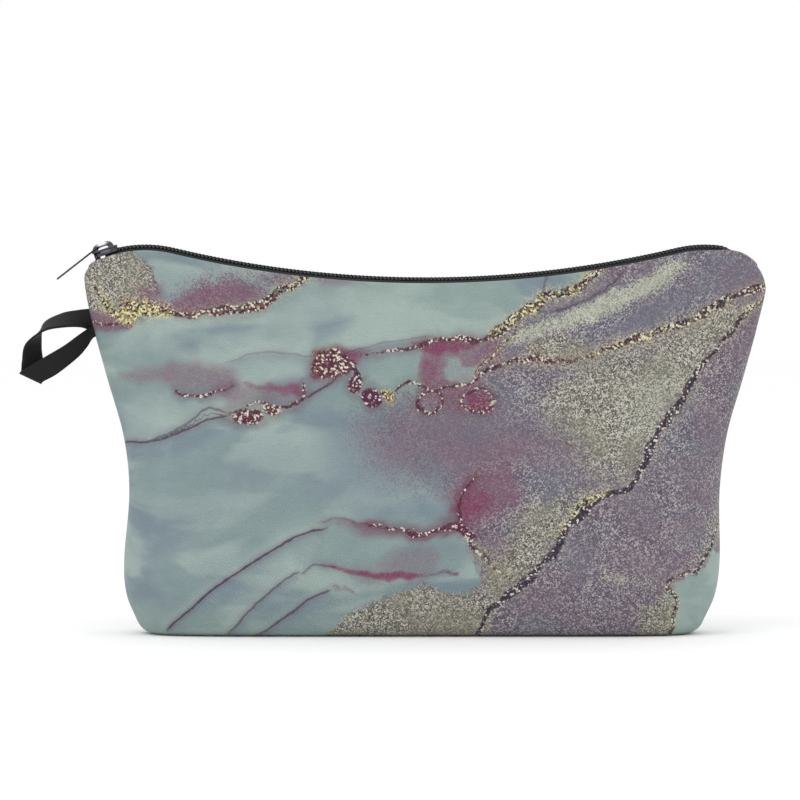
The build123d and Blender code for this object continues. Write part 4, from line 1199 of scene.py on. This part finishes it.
for word in ("front", "back"):
    face = -facing(word)
    for side, (low, high) in {"left": (0, lineLength / 2), "right": (lineLength / 2, lineLength)}.items():
        # coil: a flattened helix, sewn down by a chain of thread
        turns = (high - low) / zipper["toothPitch"]
        angle = np.linspace(0, 2 * math.pi * turns, int(turns * 14))
        shift = 0 if word == "front" else 0.5
        x = alongZip(low + (angle / 2 / math.pi + shift) * zipper["toothPitch"])
        line, ahead, up = zipFrame(x)
        across = np.array([0, face, 0])
        out = np.cos(angle)[:, None] * across * 0.5 + np.sin(angle)[:, None] * up
        line = line + up * (0.05 + zipper["toothHeight"] * np.sin(angle))[:, None]
        line = line + across * (zipper["coilMiddle"] + zipper["toothReach"] * np.cos(angle))[:, None]
        coil = makePiece(f"{word}_coil_{side}", *rodAlong(line, zipper["wireRadius"], out, 6))
        dress(coil, "coil_nylon")
        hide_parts(word + "_coil")
        sewToSeam(coil)
        x = alongZip(np.linspace(low, high, int((high - low) / 0.31)))
        line, ahead, up = zipFrame(x)
        wave = np.cos(np.arange(len(x)) * 2 * math.pi * 0.31 / zipper["toothPitch"])
        parts = []
        for offset in (1.25, 1.7):
            path = line + up * (0.7 + 0.08 * wave)[:, None] + across * (offset + 0.08 * wave)[:, None]
            parts.append(rodAlong(path, 0.15, up, 5))
        # stitches that hold the lining to the tape, on the tape's inner face
        count = int((high - low - 24) / 3.4)
        for step in range(count):
            middle = low + (24 if side == "left" else 0) + (step + 0.5) * 3.4
            sx = alongZip(middle + np.linspace(-1.15, 1.15, 7))
            sz = zipHeight(sx, 6.2)
            depth = wallDepth(sx / halfWidthAt(sz), sz) + 0.5 * creases(sx, sz, word) - 2.3
            sink = 0.3 * (1 - np.sin(np.linspace(0, math.pi, 7)))
            stitch = np.stack([sx, face * (depth + sink), sz], 1)
            parts.append(rodAlong(stitch, 0.2, np.array([0, -face, 0]) + 0 * line[:7], 5))
        thread = makePiece(f"{word}_zipper_thread_{side}", *joined(parts))
        dress(thread, "thread")
        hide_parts(word + "_zipper_stitches")
        sewToSeam(thread)
        # tape: from under the coil to the wall, then down inside it
        x = alongZip(np.linspace(low, high, int((high - low) / 1.5) + 1))
        line, ahead, up = zipFrame(x)
        profile = []
        edge = wallDepth(np.clip(x / halfWidthAt(zipHeight(x, 2)), -1, 1), zipHeight(x, 2)) - 1.85
        edge = np.maximum(edge, 1.7)
        for share, fall in ((0.0, 0.62), (0.35, 0.66), (0.7, 0.9), (0.92, 1.3), (1.0, 1.9)):
            profile.append(line + across * (0.7 + (edge - 0.7) * share)[:, None] - up * fall)
        for fall in (3.0, 4.5, 6.0, 7.5, 9.0):
            z = zipHeight(x, fall)
            u = np.clip(x / halfWidthAt(z), -1, 1)
            sunk = creases(x, z, word) * smoothStep(0, 12, fall) * smoothStep(0, 0.16, 1 - np.abs(u))
            depth = np.maximum(wallDepth(u, z) + sunk - 1.85, 0.5)
            profile.append(np.stack([x, face * depth, z], 1))
        grid = np.stack(profile)
        tape = sheetPiece(f"{word}_tape_{side}", grid, clothPlaced(grid), flip=(word == "back"))
        thicken(tape, 0.3)
        dress(tape, "zipper_tape")
        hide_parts(word + "_zipper_tape")
        sewToSeam(tape)
print("zipper made")


# bindings, side stitches and bartack

binding = {"width": 6.0, "thickness": 1.2, "setback": 2.4, "stitchPitch": 3.4, "stitchLength": 2.3}


def roundedStrip(path, across, width, thickness, lift=(0, 1, 0)):
    # a folded tape with a rounded fold on its inner edge
    turn = np.linspace(-math.pi / 2, math.pi / 2, 7)
    half = thickness / 2
    shape = [(0, -half), (width * 0.3, -half * 1.05), (width * 0.7, -half * 0.95)]
    shape += [(width - half + half * math.cos(a), half * math.sin(a)) for a in turn]
    shape += [(width * 0.7, half * 0.95), (width * 0.3, half * 1.05), (0, half)]
    shape = np.array(shape)
    rows = path[:, None] + shape[None, :, 0:1] * across[:, None] + shape[None, :, 1:2] * np.array(lift, float)
    faces = gridFaces(len(path), len(shape), closed=True)
    last = (len(path) - 1) * len(shape)
    faces += [tuple(range(len(shape)))[::-1], tuple(range(last, last + len(shape)))]
    run = np.concatenate([[0], np.cumsum(np.linalg.norm(np.diff(path, axis=0), axis=1))])
    lengthwise, sideways = np.meshgrid(run, shape[:, 0], indexing="ij")
    place = np.stack([lengthwise, sideways, 0 * sideways], -1)
    return rows.reshape(-1, 3), faces, place.reshape(-1, 3)


for side, word in ((-1, "left"), (1, "right")):
    z = np.linspace(24, 113.5, 70)
    path = np.stack([side * (halfWidthAt(z) - binding["setback"]), 0.12 * np.sin(z / 7), z], 1)
    across = np.tile([-side, 0.0, 0.0], (len(z), 1))
    points, faces, place = roundedStrip(path, across, binding["width"], binding["thickness"])
    piece = makePiece(f"{word}_seam_binding", points, faces, {"clothPlace": place})
    dress(piece, "binding_tape")
    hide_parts(word + "_side_binding")
    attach(piece, "pouch")
    parts = []
    for z0 in np.arange(26, 111, binding["stitchPitch"]):
        z = z0 + np.linspace(0, binding["stitchLength"], 6)
        x = side * (halfWidthAt(z) - binding["setback"] - 0.7 * binding["width"])
        lift = 0.16 * np.sin(np.linspace(0, math.pi, 6))
        for face in (-1, 1):
            y = face * (binding["thickness"] / 2 + lift) + 0.12 * np.sin(z / 7)
            parts.append(rodAlong(np.stack([x, y, z], 1), 0.18, np.tile([0.0, face, 0.0], (6, 1)), 6))
    piece = makePiece(f"{word}_seam_thread", *joined(parts))
    dress(piece, "thread")
    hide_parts(word + "_side_stitches")
    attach(piece, "pouch")
    y = np.linspace(-9, 9, 22)
    path = np.stack([side * 84 + 0.1 * np.sin(y), y, 0 * y + 1.75], 1)
    across = np.tile([0.0, 0.0, 1.0], (len(y), 1))
    points, faces, place = roundedStrip(path, across, binding["width"], binding["thickness"], (1, 0, 0))
    piece = makePiece(f"{word}_corner_seam_binding", points, faces, {"clothPlace": place})
    dress(piece, "binding_tape")
    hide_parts(word + "_corner_binding")
    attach(piece, "pouch")

parts = []
for row in range(8):
    z = 97.6 + row
    x = -103.4 - 0.24 * row + np.linspace(-1.1, 1.1, 6)
    lift = 0.2 * np.sin(np.linspace(0, math.pi, 6))
    bar = np.stack([x, 0.78 + lift, z + 0.3 * np.linspace(-1, 1, 6)], 1)
    parts.append(rodAlong(bar, 0.2, np.tile([0.0, 1.0, 0.0], (6, 1)), 6))
bartack = makePiece("loop_bartack_thread", *joined(parts))
dress(bartack, "thread")
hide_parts("loop_bartack")
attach(bartack, "pouch")


# hanging loop: one ribbon, folded back on itself and given half a twist

ribbon = {
    "thickness": 0.6,
    "width": 8,
    # the ribbon's two edges, from the seam round the tip and back to the seam
    "edges": [
        ((-106.6, 0.5, 105.6), (-105.6, 0.5, 98.6)),
        ((-110.0, 0.6, 105.8), (-108.4, 0.6, 98.4)),
        ((-113.4, 3.4, 105.2), (-112.2, -1.8, 99.9)),
        ((-119.0, 4.4, 104.0), (-118.2, -3.2, 99.9)),
        ((-124.8, 4.0, 100.6), (-124.4, -3.3, 98.6)),
        ((-125.6, 4.0, 93.6), (-130.2, -1.7, 94.2)),
        ((-124.8, 3.6, 87.0), (-131.6, 0.5, 88.6)),
        ((-125.0, 1.5, 82.4), (-132.0, 1.2, 85.6)),
        ((-125.2, 0.1, 81.4), (-132.4, 0.1, 84.8)),
        ((-124.4, -1.3, 82.2), (-131.4, -1.2, 85.6)),
        ((-120.1, -1.8, 84.5), (-125.2, -2.4, 89.4)),
        ((-113.6, -0.8, 89.8), (-117.8, -4.2, 93.6)),
        ((-110.6, 0.0, 93.2), (-112.8, -3.6, 97.2)),
        ((-108.1, -0.6, 96.4), (-109.0, -0.6, 99.9)),
        ((-104.6, -0.5, 97.4), (-105.4, -0.5, 101.2)),
    ],
}


def stationLine(which):
    made = []
    points = np.array([edge[which] for edge in ribbon["edges"]], float)
    padded = np.vstack([2 * points[0] - points[1], points, 2 * points[-1] - points[-2]])
    for i in range(len(points) - 1):
        t = np.linspace(0, 1, 14, endpoint=False)[:, None]
        made.append(smoothStretch(padded[i:i + 4], t))
    return np.vstack(made + [points[-1:]])


edgeA, edgeB = stationLine(0), stationLine(1)
share = np.linspace(0, 1, 11)[None, :, None]
grid = edgeA[:, None] * (1 - share) + edgeB[:, None] * share
middle = grid[:, 5]
run = np.concatenate([[0], np.cumsum(np.linalg.norm(np.diff(middle, axis=0), axis=1))])
lengthwise, sideways = np.meshgrid(run, share.ravel() * ribbon["width"], indexing="ij")
place = np.stack([lengthwise, sideways, 0 * sideways], -1)
loopPiece = sheetPiece("ribbon_loop", grid, {"clothPlace": place})
thicken(loopPiece, ribbon["thickness"], 0.0)
dress(loopPiece, "ribbon")
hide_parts("hanging_loop")
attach(loopPiece, "loop")

slider = {
    "place": (-104.1, 0, 123.761),
    "tilt": 18.75,             # degrees, nose down to the left
    "halfLength": 4.3,
    "shoulderWidth": 3.4,
    "tailWidth": 2.7,
    "plate": (1.1, 1.75),      # the top plate's underside and top
    "underPlate": (-1.8, -1.2),
    "bailWidth": 1.6,
    "bail": [(-2.9, 1.4), (-2.95, 2.1), (-2.4, 2.8), (-1.3, 3.15), (0, 3.2), (1.1, 3.15), (1.95, 2.8),
             (2.3, 2.1), (2.3, 1.4)],
    "bailThickness": (1.5, 2.1),   # at the top of the bridge and at its feet
    "tabPivot": (-106.925, 0, 125.706),
    "tabAngle": 218.0,
    "tab": [(-0.55, 1.2), (0.3, 1.75), (3.0, 1.95), (6.0, 2.2), (9.0, 2.5), (13.5, 2.6), (15.6, 2.25),
            (16.6, 1.3), (16.8, 0.4)],
    "tabEye": (0.55, 4.6, 1.05),
    "tabThickness": 0.5,
}


def sliderToFrame(points):
    turn = math.radians(slider["tilt"])
    x, y, z = np.asarray(points, float).T
    along = x * math.cos(turn) - z * math.sin(turn)
    up = x * math.sin(turn) + z * math.cos(turn)
    return np.stack([along, y, up], 1) + slider["place"]


def lidded(outline, levels):
    # a solid from stacked copies of an outline: each level is a height and how far the outline is drawn in
    outline = np.asarray(outline, float)
    middle = outline.mean(axis=0)
    rings = []
    for height, drawn in levels:
        away = outline - middle
        size = np.linalg.norm(away, axis=1)[:, None]
        rings.append(np.column_stack([middle + away * (1 - drawn / size), np.full(len(outline), height)]))
    count = len(outline)
    faces = gridFaces(len(rings), count, closed=True)
    faces += [tuple(range(count))[::-1], tuple(range((len(rings) - 1) * count, len(rings) * count))]
    return np.vstack(rings), faces


def sliderOutline():
    half, wide, tail = slider["halfLength"], slider["shoulderWidth"], slider["tailWidth"]
    upper = [(half, tail), (half - 1.2, tail + 0.1), (0.4, tail + 0.35), (-1.2, wide), (-2.6, wide),
             (-3.5, wide - 0.6), (-4.1, wide - 1.7),
             (-4.3, 0.6)]
    return evenly(curveThrough(upper + [(x, -y) for x, y in upper[::-1]], 0.3), 46)


def rounded(low, high, radius):
    turns = np.linspace(0, math.pi / 2, 4)
    start = [(low + radius * (1 - math.cos(t)), radius * (1 - math.sin(t))) for t in turns]
    end = [(high - radius * (1 - math.cos(t)), radius * (1 - math.sin(t))) for t in turns[::-1]]
    return start + end


outline = sliderOutline()
low, high = slider["plate"]
underLow, underHigh = slider["underPlate"]
parts = [lidded(outline, rounded(low, high, 0.28)), lidded(outline, rounded(underLow, underHigh, 0.24))]
for face in (-1, 1):
    # the flanges that hold the chain in, and the post that parts it
    flange = [(-2.9, 2.5), (-1.2, 2.75), (1.5, 2.6), (4.1, 2.2), (4.1, 2.75), (1.5, 3.0),
              (-1.2, 3.35), (-2.9, 3.0)]
    flange = [(x, face * y) for x, y in flange][::face]
    parts.append(lidded(flange, [(-0.35, 0.05), (-0.25, 0.0), (low + 0.1, 0.0)]))
post = [(-3.9, -0.5), (-2.4, -0.65), (-2.1, 0.0), (-2.4, 0.65), (-3.9, 0.5)]
parts.append(lidded(post, [(underHigh - 0.1, 0.0), (low + 0.1, 0.0)]))
points, faces = joined(parts)
body = makePiece("slider_casting", sliderToFrame(points), faces)
dress(body, "slider_metal")
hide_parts("slider_body")
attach(body, "slider")

path = curveThrough(slider["bail"], 0.25)
turns = np.linspace(0, 2 * math.pi, 14, endpoint=False)
section = np.stack([slider["bailWidth"] * np.sign(np.cos(turns)) * np.abs(np.cos(turns))**0.6,
                    0.5 * np.sign(np.sin(turns)) * np.abs(np.sin(turns))**0.7], 1)
thin, thick = slider["bailThickness"]
girth = thin + (thick - thin) * np.abs(np.linspace(-1, 1, len(path)))**2.5
ahead = np.gradient(path, axis=0)
ahead /= np.linalg.norm(ahead, axis=1)[:, None]
out = np.stack([-ahead[:, 1], ahead[:, 0]], 1)
waist = 1 - 0.28 * np.sin(np.linspace(0, math.pi, len(path)))
rings = np.zeros((len(path), len(section), 3))
rings[..., 0] = path[:, None, 0] + out[:, None, 0] * section[None, :, 1] * girth[:, None]
rings[..., 1] = section[None, :, 0] * waist[:, None]
rings[..., 2] = path[:, None, 1] + out[:, None, 1] * section[None, :, 1] * girth[:, None]
faces = gridFaces(len(path), len(section), closed=True)
lastRing = (len(path) - 1) * len(section)
faces += [tuple(range(len(section)))[::-1], tuple(range(lastRing, lastRing + len(section)))]
# painted highlight: full on the middle of the bridge, fading to none at its feet
highlightShare = np.repeat(np.exp(-(np.linspace(-1, 1, len(path)) / 0.4)**4), len(section))
bail = makePiece("slider_bridge", sliderToFrame(rings.reshape(-1, 3)), faces, {"paintedHighlight": highlightShare})
dress(bail, "slider_metal")
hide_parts("slider_bail")
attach(bail, "slider")

# the tab is a loop of flat bar round its eye, then a plate that widens to a rounded end
turn = math.radians(slider["tabAngle"])
away = np.array([math.cos(turn), 0, math.sin(turn)])
lift = np.array([-math.sin(turn), 0, math.cos(turn)])
profile = curveThrough(slider["tab"], 0.35)
eyeStart, eyeEnd, eyeHalf = slider["tabEye"]
rows = []
for x, half in profile:
    inside = 0.0
    if eyeStart < x < eyeEnd:
        share = (x - eyeStart) / (eyeEnd - eyeStart)
        inside = eyeHalf * min(1.0, math.sqrt(max(0.0, 1 - abs(2 * share - 1)**4)))
    bevel = 0.12 * (half - inside)
    rows.append([(x, inside), (x, inside + bevel), (x, half - bevel), (x, half)])
rows = np.array(rows)
bulge = np.array([0.25, 1.0, 1.0, 0.25]) * slider["tabThickness"] / 2
sheets = []
for face in (-1, 1):
    flat = slider["tabPivot"] + rows[..., :1] * away + rows[..., 1:] * face * np.array([0, 1, 0])
    top = flat + bulge[None, :, None] * lift
    under = flat - bulge[None, :, None] * lift
    ring = np.concatenate([top, under[:, ::-1]], 1)
    faces = gridFaces(len(ring), 8, closed=True)
    faces += [tuple(range(8))[::-1], tuple(range((len(ring) - 1) * 8, len(ring) * 8))]
    if face < 0:
        faces = [f[::-1] for f in faces]
    sheets.append((ring.reshape(-1, 3), faces))
tab = makePiece("zipper_pull", *joined(sheets))
dress(tab, "tab_metal")
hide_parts("pull_tab")
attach(tab, "pull")

# the tape's ends close the gap between the two folded edges beyond the chain
for side, word in ((-1, "left"), (1, "right")):
    edge = seamGrids["front"][-1]
    edge = edge[side * edge[:, 0] > (104.5 if side < 0 else 100)]
    share = np.linspace(1, -1, 9)[:, None]
    rows = [np.column_stack([edge[:, 0], edge[:, 1] * s, edge[:, 2] - 0.3 - 0.5 * (1 - s * s)])
            for s in share[:, 0]]
    grid = np.stack(rows)
    piece = sheetPiece(f"{word}_tape_end", grid, clothPlaced(grid))
    thicken(piece, 0.3)
    dress(piece, "zipper_tape")
    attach(piece, "pouch")
print("loop and slider finished")


# stage, lights and camera

# metres and watts
stageLook = {
    "floorTone": "#FEFEFE",
    "floorHalf": 4,
    "floorHeight": -0.0002,
    "world": 1.0,
    # place, size and power of each light
    "lights": {"keyLight": ((-0.45, -0.8, 1.25), 0.8, 3.6), "fillLight": ((0.9, -0.7, 0.6), 0.9, 0.8)},
    "lightTarget": (0, 0, 0.06),
}

reach, low = stageLook["floorHalf"], stageLook["floorHeight"]
corners = [(-reach, -reach, low), (reach, -reach, low), (reach, reach, low), (-reach, reach, low)]
floorMesh = bpy.data.meshes.new("floor")
floorMesh.from_pydata(corners, [], [(0, 1, 2, 3)])
floor = bpy.data.objects.new("floor", floorMesh)
bpy.context.scene.collection.objects.link(floor)
floorMaterial, tree = newMaterial("paperFloor")
paper = addNode(tree, "BsdfPrincipled", {}, {
    "Base Color": toLinear(stageLook["floorTone"]), "Roughness": 0.9})
addNode(tree, "OutputMaterial", {}, {"Surface": paper}, None)
floorMesh.materials.append(floorMaterial)

world = bpy.data.worlds.new("studio")
bpy.context.scene.world = world
world.use_nodes = True
world.node_tree.nodes["Background"].inputs[0].default_value = (1, 1, 1, 1)
world.node_tree.nodes["Background"].inputs[1].default_value = stageLook["world"]


def addLight(name, place, size, power):
    light = bpy.data.lights.new(name, "AREA")
    light.shape, light.size, light.energy = "SQUARE", size, power
    holder = bpy.data.objects.new(name, light)
    holder.location = place
    holder.rotation_mode = "QUATERNION"
    holder.rotation_quaternion = (Vector(stageLook["lightTarget"]) - Vector(place)).to_track_quat("-Z", "Y")
    bpy.context.scene.collection.objects.link(holder)


for name, (place, size, power) in stageLook["lights"].items():
    addLight(name, place, size, power)

bpy.context.scene.view_settings.view_transform = "Standard"

camera = bpy.data.cameras.new("camera")
camera.lens = view["lens"]
camera.sensor_width = view["sensor"]
camera.clip_end = 20
cameraHolder = bpy.data.objects.new("camera", camera)
distance = view["across"] / view["sensor"] * view["lens"] * mm
tilt = math.radians(view["elevation"])
aim = Vector(view["aim"]) * mm
cameraHolder.location = aim + Vector((0, -math.cos(tilt), math.sin(tilt))) * distance
cameraHolder.rotation_euler = (math.pi / 2 - tilt, 0, 0)
bpy.context.scene.collection.objects.link(cameraHolder)
bpy.context.scene.camera = cameraHolder
